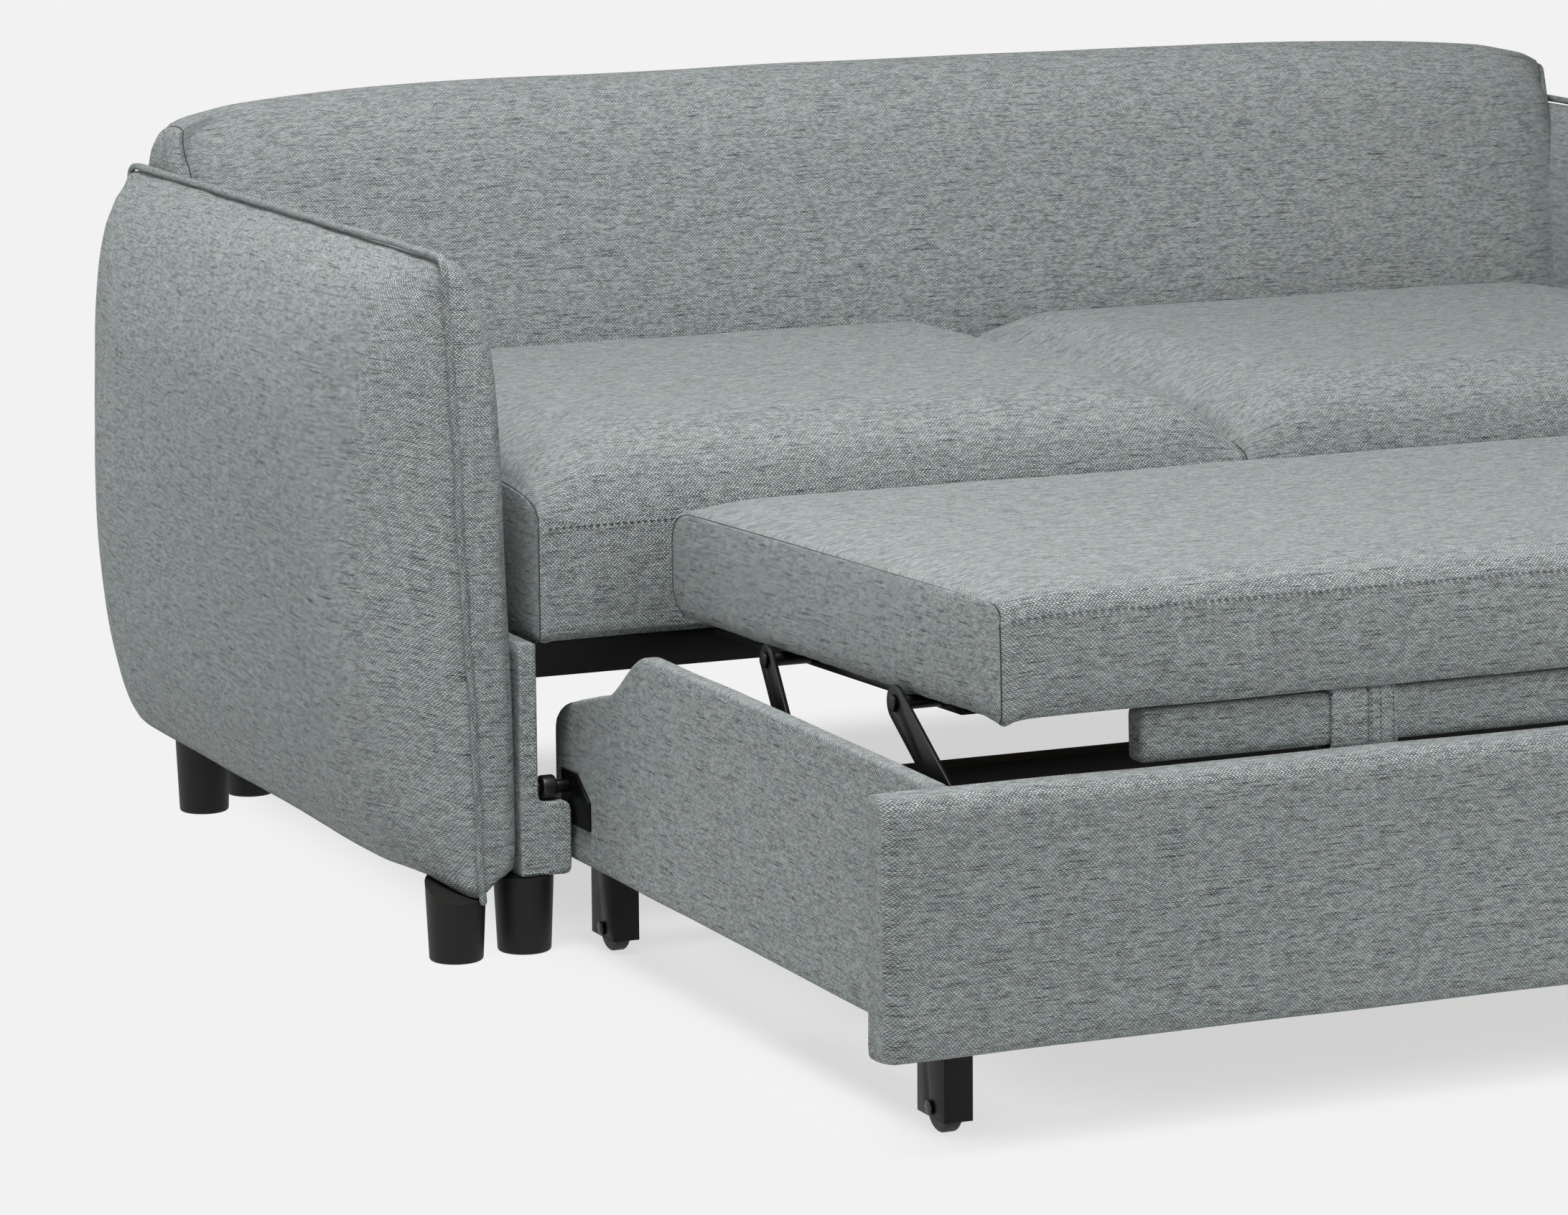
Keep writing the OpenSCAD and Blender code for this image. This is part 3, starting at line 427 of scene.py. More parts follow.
def eased(at: np.ndarray, xs: Sequence[float], ys: Sequence[float]) -> np.ndarray:
    """Smooth values between given ones, with no overshoot.

    Args:
        at: Places where values are wanted.
        xs: Rising places of the given values.
        ys: The given values.

    Returns:
        One value for each place.
    """
    xs, ys = np.asarray(xs, float), np.asarray(ys, float)
    h = np.maximum(np.diff(xs), 1e-12)
    s = np.diff(ys) / h
    m = np.zeros(len(xs))
    m[0], m[-1] = s[0], s[-1]
    same = s[:-1] * s[1:] > 0
    m[1:-1][same] = (2 * s[:-1] * s[1:])[same] / (s[:-1] + s[1:])[same]
    i = np.clip(np.searchsorted(xs, at) - 1, 0, len(h) - 1)
    t = np.clip((at - xs[i]) / h[i], 0, 1)
    return (
        (2 * t**3 - 3 * t**2 + 1) * ys[i]
        + (t**3 - 2 * t**2 + t) * h[i] * m[i]
        + (3 * t**2 - 2 * t**3) * ys[i + 1]
        + (t**3 - t**2) * h[i] * m[i + 1]
    )


def path_length(path: np.ndarray) -> np.ndarray:
    """Distance along a path at each of its points."""
    return np.concatenate([[0], np.cumsum(np.linalg.norm(np.diff(path, axis=0), axis=1))])


def between(at: np.ndarray, places: np.ndarray, rows: np.ndarray) -> np.ndarray:
    """Straight steps between rows of values that are known at some places.

    Args:
        at: Places where rows are wanted.
        places: Rising places of the known rows.
        rows: The known rows.

    Returns:
        One row for each place.
    """
    return np.column_stack([np.interp(at, places, column) for column in rows.T])


def curve_through(points: Sequence[Sequence[float]], count: int) -> np.ndarray:
    """Even points on a smooth curve through the given ones.

    Args:
        points: Control points, in two or three dimensions.
        count: Number of points wanted, both ends included.

    Returns:
        Array of count rows.
    """
    p = np.asarray(points, float)
    if len(p) > 2:
        chord = path_length(p)
        dense = np.linspace(0, chord[-1], 40 * len(p))
        p = np.column_stack([eased(dense, chord, column) for column in p.T])
    length = path_length(p)
    return between(np.linspace(0, length[-1], count), length, p)


def outline(sides: Sides, counts: Counts) -> np.ndarray:
    """A closed outline in millimetres turned into even points in metres.

    Args:
        sides: Four sides, each a row of curves that join end to end.
        counts: Number of steps in each curve of each side.

    Returns:
        Points of the outline, the last one not repeated.
    """
    rows = [
        curve_through(curve, count + 1)[:-1]
        for curves, numbers in zip(sides, counts)
        for curve, count in zip(curves, numbers)
    ]
    return np.vstack(rows) * MM


def rounded_box(ya: float, yb: float, za: float, zb: float, r: float) -> Sides:
    """Outline of a rectangle with rounded corners, in millimetres."""
    k = r * 0.2929  # 1 - cos 45 degrees
    return [
        [[(ya + k, za + k), (ya, za + r), (ya, zb - r), (ya + k, zb - k)]],
        [[(ya + k, zb - k), (ya + r, zb), (yb - r, zb), (yb - k, zb - k)]],
        [[(yb - k, zb - k), (yb, zb - r), (yb, za + r), (yb - k, za + k)]],
        [[(yb - k, za + k), (yb - r, za), (ya + r, za), (ya + k, za + k)]],
    ]


def shrunk(ring: np.ndarray, by: float) -> np.ndarray:
    """Move a flat closed outline inwards by a small distance."""
    ahead, behind = np.roll(ring, -1, 0), np.roll(ring, 1, 0)
    run = ahead - behind
    normal = np.column_stack([-run[:, 1], run[:, 0]])
    normal /= np.maximum(np.linalg.norm(normal, axis=1, keepdims=True), 1e-9)
    area = np.sum(ring[:, 0] * ahead[:, 1] - ahead[:, 0] * ring[:, 1])
    return ring + normal * by * (1 if area > 0 else -1)


def smooth_step(low: float, high: float, value: np.ndarray | float) -> np.ndarray:
    """Smooth change from 0 at low to 1 at high, which may lie below it."""
    t = np.clip((np.asarray(value, float) - low) / (high - low), 0, 1)
    return t * t * (3 - 2 * t)


def spread(breaks: Sequence[float], step: float) -> np.ndarray:
    """Stations that hit every break and are at most a step apart."""
    out = [breaks[0]]
    for a, b in zip(breaks, breaks[1:]):
        n = max(1, round(abs(b - a) / step))
        out += [a + (b - a) * (k + 1) / n for k in range(n)]
    return np.array(out)


def dress(obj: bpy.types.Object, finish: bpy.types.Material, slot: Slot, body: str, *nodes: str) -> bpy.types.Object:
    """Give a piece its finish, its body and the nodes that it replaces.

    Args:
        obj: The piece.
        finish: Its material.
        slot: The record slot of its finish; not used.
        body: The body that it rides on.
        *nodes: CAD nodes that it stands for.

    Returns:
        The piece.
    """
    obj.data.materials.clear()
    obj.data.materials.append(finish)
    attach(obj, body)
    if nodes:
        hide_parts(*nodes)
    LOG.info("%s: %d faces, rides on %s", obj.name, len(obj.data.polygons), body)
    return obj


def object_from(name: str, mesh: bpy.types.Mesh) -> bpy.types.Object:
    """Make an object of a mesh and link it to the scene."""
    obj = bpy.data.objects.new(name, mesh)
    bpy.context.scene.collection.objects.link(obj)
    return obj


def object_of(name: str, points: Sequence[Sequence[float]], faces: Sequence[tuple[int, ...]]) -> bpy.types.Object:
    """Make a smooth-shaded object of points and faces."""
    mesh = bpy.data.meshes.new(name)
    mesh.from_pydata([tuple(float(c) for c in p) for p in points], [], faces)
    for polygon in mesh.polygons:
        polygon.use_smooth = True
    return object_from(name, mesh)


def bands(rings: int, around: int, closed: bool = False, first: int = 0) -> list[tuple[int, ...]]:
    """Faces between neighbouring rings of points.

    Args:
        rings: Number of rings.
        around: Points in each ring.
        closed: Whether the last ring joins the first.
        first: Number of the first point.

    Returns:
        Four point numbers for each face, ring by ring.
    """
    faces = []
    for i in range(rings if closed else rings - 1):
        here, there = first + i * around, first + (i + 1) % rings * around
        for j in range(around):
            k = (j + 1) % around
            faces.append((here + j, here + k, there + k, there + j))
    return faces


def alone(obj: bpy.types.Object) -> None:
    """Deselect everything and make one object the active, selected one."""
    for other in bpy.context.selected_objects:
        other.select_set(False)
    obj.select_set(True)
    bpy.context.view_layer.objects.active = obj


@dataclass
class SewnSkin:
    """A closed fabric skin through a row of closed rings.

    Each ring starts at the lower front, goes up, over, down and back along the
    bottom, and its four sides let the ends be closed with an even grid.
    """

    name: str
    rings: np.ndarray
    rise: int
    over: int
    cap_bulge: tuple[float, float] = (0.0, 0.0)  # how far each end domes out, mm
    end_shift: float = 7.31  # keeps the weave of the ends from lining up with the rest

    def end_grid(self, ring: np.ndarray, bulge: np.ndarray) -> np.ndarray:
        """Fill a ring with a grid between its four sides.

        Args:
            ring: Points of the ring.
            bulge: Outward vector at the middle of the end.

        Returns:
            Array of (rise + 1) by (over + 1) points, its border on the ring.
        """
        a, b = self.rise, self.over
        up = ring[: a + 1]
        top = ring[a : a + b + 1]
        down = ring[a + b : 2 * a + b + 1][::-1]
        under = np.vstack([ring[2 * a + b :], ring[:1]])[::-1]
        s = np.linspace(0, 1, a + 1)[:, None, None]
        t = np.linspace(0, 1, b + 1)[None, :, None]
        flat = (
            (1 - t) * up[:, None]
            + t * down[:, None]
            + (1 - s) * under[None]
            + s * top[None]
            - (1 - s) * (1 - t) * ring[0]
            - s * t * down[-1]
            - (1 - s) * t * under[-1]
            - s * (1 - t) * up[-1]
        )
        dome = np.minimum(1, 5 * s * (1 - s)) * np.minimum(1, 8 * t * (1 - t))
        return flat + np.sqrt(np.clip(dome, 0, 1)) * bulge

    def end_index(self, base: int, total: int, around: int) -> np.ndarray:
        """Point numbers of an end's grid.

        Args:
            base: Number of the first point of the ring.
            total: Number of the first point inside the ring.
            around: Points in the ring.

        Returns:
            Array of (rise + 1) by (over + 1) numbers.
        """
        a, b = self.rise, self.over
        index = np.zeros((a + 1, b + 1), int)
        for r in range(a + 1):
            index[r, 0], index[r, b] = base + r, base + 2 * a + b - r
        for c in range(b + 1):
            index[a, c], index[0, c] = base + a + c, base + (2 * a + 2 * b - c) % around
        index[1:-1, 1:-1] = total + np.arange((a - 1) * (b - 1)).reshape(a - 1, b - 1)
        return index

    def build(self) -> bpy.types.Object:
        """Make the object, with its weave map in metres."""
        rings, (a, b) = self.rings, (self.rise, self.over)
        n, around = rings.shape[:2]
        points = [rings.reshape(-1, 3)]
        run = np.cumsum(np.linalg.norm(np.diff(rings, axis=0), axis=2), 0)
        along = np.concatenate([np.zeros((1, around)), run])
        along -= along[n // 2]
        about = path_length(np.vstack([rings[n // 2], rings[n // 2][:1]]))
        faces = bands(n, around)
        maps: list[list[Point]] = []
        for i in range(n - 1):
            for j in range(around):
                k = (j + 1) % around
                corners = ((i, j, j), (i, k, j + 1), (i + 1, k, j + 1), (i + 1, j, j))
                maps.append([(along[row, column], about[turn]) for row, column, turn in corners])
        total = n * around
        for end, base in ((0, 0), (1, (n - 1) * around)):
            ring = rings[-1 if end else 0]
            beside = rings[-2 if end else 1]
            out = ring.mean(0) - beside.mean(0)
            out = out / (np.linalg.norm(out) or 1) * self.cap_bulge[end] * MM
            grid = self.end_grid(ring, out)
            index = self.end_index(base, total, around)
            inner = grid[1:-1, 1:-1].reshape(-1, 3)
            total += len(inner)
            points.append(inner)
            wide, deep = np.ptp(ring[:, 0]), np.ptp(ring[:, 1])
            plane = 1 if wide < 0.5 * deep else 0
            for r in range(a):
                for c in range(b):
                    spots = ((r, c), (r, c + 1), (r + 1, c + 1), (r + 1, c))
                    quad = tuple(int(index[spot]) for spot in spots)
                    chart = [(grid[spot][plane] + self.end_shift * (end + 1), grid[spot][2]) for spot in spots]
                    faces.append(quad[::-1] if end else quad)
                    maps.append(chart[::-1] if end else chart)
        obj = object_of(self.name, np.vstack(points), faces)
        layer = obj.data.uv_layers.new(name="weave")
        layer.data.foreach_set("uv", np.array([uv for face in maps for uv in face], np.float32).ravel())
        face_outwards(obj)
        return obj


def face_outwards(obj: bpy.types.Object) -> None:
    """Recalculate a closed mesh's normals so that they point outwards."""
    work = bmesh.new()
    work.from_mesh(obj.data)
    bmesh.ops.recalc_face_normals(work, faces=work.faces)
    if work.calc_volume(signed=True) < 0:
        bmesh.ops.reverse_faces(work, faces=work.faces)
    work.to_mesh(obj.data)
    work.free()


def vertex_rows(obj: bpy.types.Object, what: str) -> np.ndarray:
    """Three numbers of each vertex of a mesh object, by the name of the property."""
    out = np.zeros(len(obj.data.vertices) * 3, np.float32)
    obj.data.vertices.foreach_get(what, out)
    return out.reshape(-1, 3).astype(float)


def coordinates(obj: bpy.types.Object) -> np.ndarray:
    """Vertex places of a mesh object."""
    return vertex_rows(obj, "co")


def normals_of(obj: bpy.types.Object) -> np.ndarray:
    """Vertex normals of a mesh object."""
    return vertex_rows(obj, "normal")


def set_coordinates(obj: bpy.types.Object, places: np.ndarray) -> None:
    """Write vertex places back to a mesh object."""
    obj.data.vertices.foreach_set("co", places.astype(np.float32).ravel())
    obj.data.update()


def pinned(obj: bpy.types.Object, rings: int, around: int, columns: Sequence[int], under: int) -> np.ndarray:
    """Weights that hold a skin's ends, seams and underside while it swells.

    Args:
        obj: The skin.
        rings: Number of its rings.
        around: Points in each ring.
        columns: The seams, as point numbers in a ring.
        under: The first point of the underside in a ring.

    Returns:
        One weight for each vertex, 1 where it is held.
    """
    hold = np.zeros(len(obj.data.vertices))
    grid = np.arange(rings * around).reshape(rings, around)
    for held in (grid[[0, -1]], grid[:, list(columns)], grid[:, under:]):
        hold[held.ravel()] = 1
    return hold


def inflate(
    obj: bpy.types.Object, hold: np.ndarray, cap: np.ndarray | float, calm: int = 8, pressure: float = 4.0
) -> None:
    """Puff a closed pad with cloth pressure, with its seams held.

    Args:
        obj: The pad.
        hold: One weight for each vertex, 1 where a seam or the frame holds it.
        cap: Furthest that a vertex may move, in millimetres.
        calm: Passes that even the swell out, where the real cloth is taut.
        pressure: Uniform pressure of the cloth.
    """
    start = coordinates(obj)
    group = obj.vertex_groups.new(name="seams")
    for weight in np.unique(hold):
        if weight > 0:
            group.add([int(i) for i in np.flatnonzero(hold == weight)], float(weight), "REPLACE")
    alone(obj)
    cloth = obj.modifiers.new("stuffing", "CLOTH")
    cloth.settings.quality = 4
    cloth.settings.vertex_group_mass = "seams"
    cloth.settings.use_pressure = True
    cloth.settings.uniform_pressure_force = pressure
    cloth.settings.effector_weights.gravity = 0
    cloth.point_cache.frame_start, cloth.point_cache.frame_end = 1, 20
    for frame in range(1, 21):
        bpy.context.scene.frame_set(frame)
    shaped = obj.evaluated_get(bpy.context.evaluated_depsgraph_get())
    moved = coordinates(shaped) - start
    obj.modifiers.remove(cloth)
    obj.vertex_groups.remove(group)
    bpy.context.scene.frame_set(1)
    ends = np.zeros(2 * len(obj.data.edges), np.int32)
    obj.data.edges.foreach_get("vertices", ends)
    one, other = ends.reshape(-1, 2).T
    degree = np.bincount(ends, minlength=len(start))[:, None]
    for _ in range(calm):
        around = np.zeros_like(moved)
        np.add.at(around, one, moved[other])
        np.add.at(around, other, moved[one])
        moved = (moved + around / degree) / 2 * (1 - hold[:, None])
    size = np.linalg.norm(moved, axis=1, keepdims=True)
    most = np.broadcast_to(np.asarray(cap, float) * MM, (len(start),))[:, None]
    limited = moved * np.where(size > 0, most * np.tanh(size / most) / np.maximum(size, 1e-9), 0)
    set_coordinates(obj, start + limited * (1 - hold[:, None]))


def settle(obj: bpy.types.Object, height: float, length: float, seed: float) -> None:
    """Give a fabric face the slow, shallow waves of real upholstery.

    Args:
        obj: The piece.
        height: Largest lift along the normal, in millimetres.
        length: Length of a wave, in millimetres.
        seed: Offset into the noise.
    """
    places = coordinates(obj)
    offset = Vector((seed, seed, seed))
    waves = np.array([noise.noise(Vector(p / (length * MM)) + offset) for p in places])
    set_coordinates(obj, places + normals_of(obj) * (waves * height * MM)[:, None])


def box_map(obj: bpy.types.Object) -> None:
    """Lay a weave map in metres on a board, face by face."""
    layer = obj.data.uv_layers.get("weave") or obj.data.uv_layers.new(name="weave")
    for polygon in obj.data.polygons:
        n = [abs(c) for c in polygon.normal]
        axis = n.index(max(n))
        for corner in polygon.loop_indices:
            p = obj.data.vertices[obj.data.loops[corner].vertex_index].co
            layer.data[corner].uv = ((p.y, p.z), (p.x, p.z), (p.x, p.y))[axis]


def tube(name: str, path: np.ndarray, radius: float, sides: int) -> bpy.types.Object:
    """A round cord along a path that never runs along X, with closed domed ends.

    Args:
        name: Name of the piece.
        path: Points of the centreline.
        radius: Radius of the cord.
        sides: Points around it.

    Returns:
        The cord.
    """
    tangents = np.gradient(path, axis=0)
    tangents /= np.linalg.norm(tangents, axis=1, keepdims=True)
    lengths = path_length(path)
    angles = np.linspace(0, 2 * math.pi, sides, endpoint=False)
    dome = ((0.96, 0.25), (0.7, 0.7))  # how far out and how wide, in radii
    last = len(path) - 1
    spots = [(path[0] - tangents[0] * radius * s, 0, radius * c, -radius * s) for s, c in dome]
    spots += [(path[i], i, radius, lengths[i]) for i in range(len(path))]
    spots += [
        (path[-1] + tangents[-1] * radius * s, last, radius * c, lengths[-1] + radius * s) for s, c in dome[::-1]
    ]
    points = []
    across = Vector((1, 0, 0))
    for centre, i, r, _ in spots:
        t = Vector(tangents[i])
        u = (across - t * across.dot(t)).normalized()
        v = t.cross(u)
        points += [Vector(centre) + (u * math.cos(q) + v * math.sin(q)) * r for q in angles]
    n = len(spots)
    ends = [tuple(range(sides)), tuple((n - 1) * sides + j for j in range(sides))]
    obj = object_of(name, points, bands(n, sides) + ends)
    layer = obj.data.uv_layers.new(name="weave")
    turn = 2 * math.pi * radius / sides
    for number, polygon in enumerate(obj.data.polygons):
        i, j = divmod(number, sides)
        for k, corner in enumerate(polygon.loop_indices):
            if i < n - 1:
                row, column = i + (1 if k >= 2 else 0), j + (1 if k in (1, 2) else 0)
                layer.data[corner].uv = (spots[row][3], column * turn)
            else:
                angle = angles[k % sides]
                layer.data[corner].uv = (radius * math.cos(angle), radius * math.sin(angle))
    face_outwards(obj)
    return obj


def stitches(
    name: str, path: np.ndarray, normals: np.ndarray, length: float, gap: float, thick: float
) -> bpy.types.Object:
    """A row of short thread stitches along a seam.

    Args:
        name: Name of the piece.
        path: Points of the seam.
        normals: Outward direction at each point.
        length: Length of a stitch.
        gap: Space between stitches.
        thick: Thickness of the thread.

    Returns:
        One object that holds all stitches.
    """
    sides, nudge = 6, 0.0005
    lengths = path_length(path)
    rise = (0.0, 0.55, 0.8, 0.55, 0.0)
    girth = (0.35, 1.0, 1.0, 1.0, 0.35)
    points, faces = [], []
    for s in range(int(lengths[-1] // (length + gap))):
        base = len(points)
        at = s * (length + gap) + gap / 2 + length * np.arange(len(rise)) / (len(rise) - 1)
        centres, outs = between(at, lengths, path), between(at, lengths, normals)
        runs = between(at + nudge, lengths, path) - between(at - nudge, lengths, path)
        for centre, out, run, lift, share in zip(centres, outs, runs, rise, girth):
            out = Vector(out).normalized()
            side = Vector(run).normalized().cross(out).normalized()
            middle = Vector(centre) + out * (lift * thick - thick * 0.3)
            for q in range(sides):
                a = q * 2 * math.pi / sides
                points.append(middle + (side * math.cos(a) + out * math.sin(a)) * (thick / 2 * share))
        faces += bands(len(rise), sides, first=base)
        faces += [tuple(end + q for q in range(sides)) for end in (base, base + (len(rise) - 1) * sides)]
    obj = object_of(name, points, faces)
    work = bmesh.new()
    work.from_mesh(obj.data)
    bmesh.ops.recalc_face_normals(work, faces=work.faces)
    work.to_mesh(obj.data)
    work.free()
    box_map(obj)
    return obj


def mirrored(obj: bpy.types.Object, name: str) -> bpy.types.Object:
    """Copy a piece to the other side of the sofa, with its own mesh."""
    copy = object_from(name, obj.data.copy())
    copy.data.name = name
    set_coordinates(copy, coordinates(copy) * (-1, 1, 1))
    face_outwards(copy)
    return copy


def wrapped(
    name: str,
    sides: Sides,
    counts: Counts,
    start: float,
    stop: float,
    soft: float,
    step: float,
    along: str = "X",
    ease: float | None = None,
) -> bpy.types.Object:
    """A board or block with fabric drawn over its edges.

    Args:
        name: Name of the piece.
        sides: Outline of the board, in millimetres.
        counts: Steps along the outline.
        start: Low end along the axis, in millimetres.
        stop: High end along the axis, in millimetres.
        soft: Radius of the edges at both ends, in millimetres.
        step: Spacing of the stations, in millimetres.
        along: "X" for an outline of Y and Z, "Y" for one of X and Z.
        ease: How far the outline is drawn in at the ends, as far as soft if left out.

    Returns:
        The board.
    """
    ring = outline(sides, counts)
    turn = np.radians(np.linspace(0, 90, 5))
    inner = spread([start + soft, stop - soft], step)
    near = soft * (1 - np.cos(turn))
    at = np.concatenate([start + near, inner[1:-1], stop - near[::-1]])
    drawn = (1 - np.sin(turn)) * (soft if ease is None else ease) * MM
    inset = np.concatenate([drawn, np.zeros(len(inner) - 2), drawn[::-1]])
    rings = []
    for place, by in zip(at * MM, inset):
        flat = shrunk(ring, by)
        fixed = np.full(len(flat), place)
        rings.append(np.column_stack([fixed, flat] if along == "X" else [flat[:, 0], fixed, flat[:, 1]]))
    return SewnSkin(name, np.array(rings), sum(counts[0]), sum(counts[1])).build()


def refined(node: str, finish: bpy.types.Material, slot: Slot, edge: float) -> bpy.types.Object:
    """A finer copy of a hard CAD node, with eased edges and smooth curves.

    Args:
        node: Name of the CAD node.
        finish: Its material.
        slot: The record slot of its finish.
        edge: Radius of the eased edges, in millimetres.

    Returns:
        The copy, which stands for the node.
    """
    source = bpy.data.objects[node]
    copy = object_from(node + "_finished", source.data.copy())
    work = bmesh.new()
    work.from_mesh(copy.data)
    bmesh.ops.remove_doubles(work, verts=work.verts, dist=0.00002)
    bmesh.ops.dissolve_limit(work, angle_limit=math.radians(1.0), verts=work.verts, edges=work.edges)
    work.to_mesh(copy.data)
    work.free()
    alone(copy)
    bevel = copy.modifiers.new("eased_edges", "BEVEL")
    bevel.width, bevel.segments, bevel.limit_method = edge * MM, 2, "ANGLE"
    bevel.angle_limit = math.radians(38)
    bpy.ops.object.modifier_apply(modifier="eased_edges")
    bpy.ops.object.shade_smooth_by_angle(angle=math.radians(32))
    return dress(copy, finish, slot, source["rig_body"], node)


def held_in(board: bpy.types.Object, low: Sequence[float], high: Sequence[float]) -> None:
    """Keep a hidden board clear of the cover round it, between two corners in millimetres."""
    set_coordinates(board, np.clip(coordinates(board), np.array(low) * MM, np.array(high) * MM))


def tipped(piece: bpy.types.Object, tilt: float, origin: Sequence[float]) -> None:
    """Turn a piece from a level drawing into its place.

    Args:
        piece: The piece.
        tilt: How far its front end is raised, in degrees.
        origin: The point that it is drawn round, in millimetres.
    """
    turn = Matrix.Translation(Vector(origin) * MM) @ Matrix.Rotation(math.radians(-tilt), 4, "X")
    piece.data.transform(turn)


# ---------------------------------------------------------------- padded pieces


@dataclass
class Cushion:
    """A boxed cushion whose crown rolls down to its end panels.

    The outlines are Y and Z, given as the front, the top, the rear and the bottom,
    each a row of curves that meet at seams.
    """

    name: str
    node: str
    body: str
    x0: float
    x1: float
    middle: Sides
    end: Sides
    counts: Counts
    roll: float  # how far in from an end the crown reaches its full height
    seam: int  # point of a ring that the top front seam runs through
    swell: float
    end_swell: tuple[float, float]
    fill: float
    step: float
    waves: float
    tilt: float = 0.0
    origin: tuple[float, float, float] = (0.0, 0.0, 0.0)
    sag: float = 0.0  # how far the lower front corners hang
    near: tuple = (0, 2.0, 4.5, 8, 12.5, 18.5, 26, 35)  # places of the first rings from an end
    seam_depth: float = 2.2
    seam_ridge: tuple[float, float] = (0.6, 0.4)
    end_depth: float = 1.6
    end_ridge: tuple[float, float, float] = (0.6, 1.3, 0.8)
    end_flat: float = 1.2  # how near to its end a point counts as part of the end panel
    thread: tuple[float, float, float] = (4.2, 2.2, 1.1)  # a stitch, the gap after it, its thickness
    # radius of the dark cord laid in each end seam as a painted shadow line
    seam_radius: float = 0.9

    def stations(self) -> np.ndarray:
        """Places of the rings across the cushion, close together at its ends."""
        near = np.array(self.near)
        inner = spread([self.x0 + near[-1], self.x1 - near[-1]], self.step)
        return np.concatenate([self.x0 + near[:-1], inner, self.x1 - near[:-1][::-1]])

    def rings(self) -> np.ndarray:
        """Rings from one end panel to the other, in metres."""
        mid, end = outline(self.middle, self.counts), outline(self.end, self.counts)
        rows = []
        for x in self.stations():
            gap = min(x - self.x0, self.x1 - x)
            t = min(1.0, gap / self.roll)
            share = math.sqrt(max(0.0, 1 - (1 - t) ** 2))
            flat = end + (mid - end) * share
            low = np.clip(1 - (flat[:, 1] - flat[:, 1].min()) / 0.05, 0, 1)
            corner = np.exp(-((gap / 16.0) ** 2))
            front = np.clip(1 - (flat[:, 0] - flat[:, 0].min()) / 0.03, 0, 1)
            flat = flat - np.column_stack([np.zeros(len(flat)), low * front * corner * self.sag * MM])
            rows.append(np.column_stack([np.full(len(flat), x * MM), flat]))
        return np.array(rows)

    def build(self, wardrobe: Wardrobe) -> None:
        """Build, swell, seam and dress the cushion.

        Args:
            wardrobe: The finishes.
        """
        rings = self.rings()
        n, around = rings.shape[:2]
        rise, over = sum(self.counts[0]), sum(self.counts[1])
        pad = SewnSkin(self.name, rings, rise, over).build()
        hold = pinned(pad, n, around, (0, self.seam), 2 * rise + over)
        most = np.full(len(hold), self.swell)
        places = coordinates(pad)
        for swell, x in zip(self.end_swell, (self.x0, self.x1)):
            most[np.abs(places[:, 0] - x * MM) < self.end_flat * MM] = swell
        inflate(pad, hold, most)
        settle(pad, height=self.waves, length=110, seed=self.x0 * 0.013)
        self.press_seams(pad, n, around)
        tipped(pad, self.tilt, self.origin)
        dress(pad, wardrobe.cloth, Slot.FABRIC, self.body, self.node)
        self.sew(pad, wardrobe, n, around)

    def press_seams(self, pad: bpy.types.Object, n: int, around: int) -> None:
        """Draw the seam rows in and pucker the cloth beside them, as the thread does."""
        places, out = coordinates(pad), normals_of(pad)
        grid = np.arange(n * around).reshape(n, around)
        line = grid[:, self.seam]
        places[line] -= out[line] * self.seam_depth * MM
        turn = np.arange(around)
        wave = np.sin(turn * 2.3) * 0.6 + np.sin(turn * 0.9 + 2) * 0.4
        for first, inward in ((0, 1), (n - 1, -1)):
            places[grid[first]] -= out[grid[first]] * self.end_depth * MM
            for k, lift in enumerate(self.end_ridge, 1):
                line = grid[first + inward * k]
                places[line] += out[line] * (lift * MM * (1 + 0.7 * wave))[:, None]
        pucker = np.sin(np.arange(n) * 2.1) * 0.5 + np.sin(np.arange(n) * 0.83 + 1) * 0.5
        ridge, play = self.seam_ridge
        for side in (-1, 1):
            line = grid[:, self.seam + side]
            places[line] += out[line] * ((ridge + play * pucker) * MM)[:, None]
        set_coordinates(pad, places)

    def sew(self, pad: bpy.types.Object, wardrobe: Wardrobe, n: int, around: int) -> None:
        """Lay a row of top stitches below the pressed seam, and a dark cord in each end seam as a painted shadow line.
        """
        places, out = coordinates(pad), normals_of(pad)
        grid = np.arange(n * around).reshape(n, around)
        covered = 2 * sum(self.counts[0]) + sum(self.counts[1])
        skim = 0.1 * MM
        # Painted shadow: a thin dark cord just under the surface of each end seam stands in for the shade in the seam's
        # groove
        for end, row in (("left", 0), ("right", n - 1)):
            line = grid[row, : covered + 1]
            seam = tube(f"{self.name}_seam_{end}", places[line] - out[line] * skim, self.seam_radius * MM, 6)
            dress(seam, wardrobe.shadow_thread, Slot.FABRIC, self.body)
        line = grid[3:-3, self.seam - 1]
        length, gap, thick = (size * MM for size in self.thread)
        thread = stitches(f"{self.name}_stitches_1", places[line] + out[line] * skim, out[line], length, gap, thick)
        dress(thread, wardrobe.thread, Slot.FABRIC, self.body)


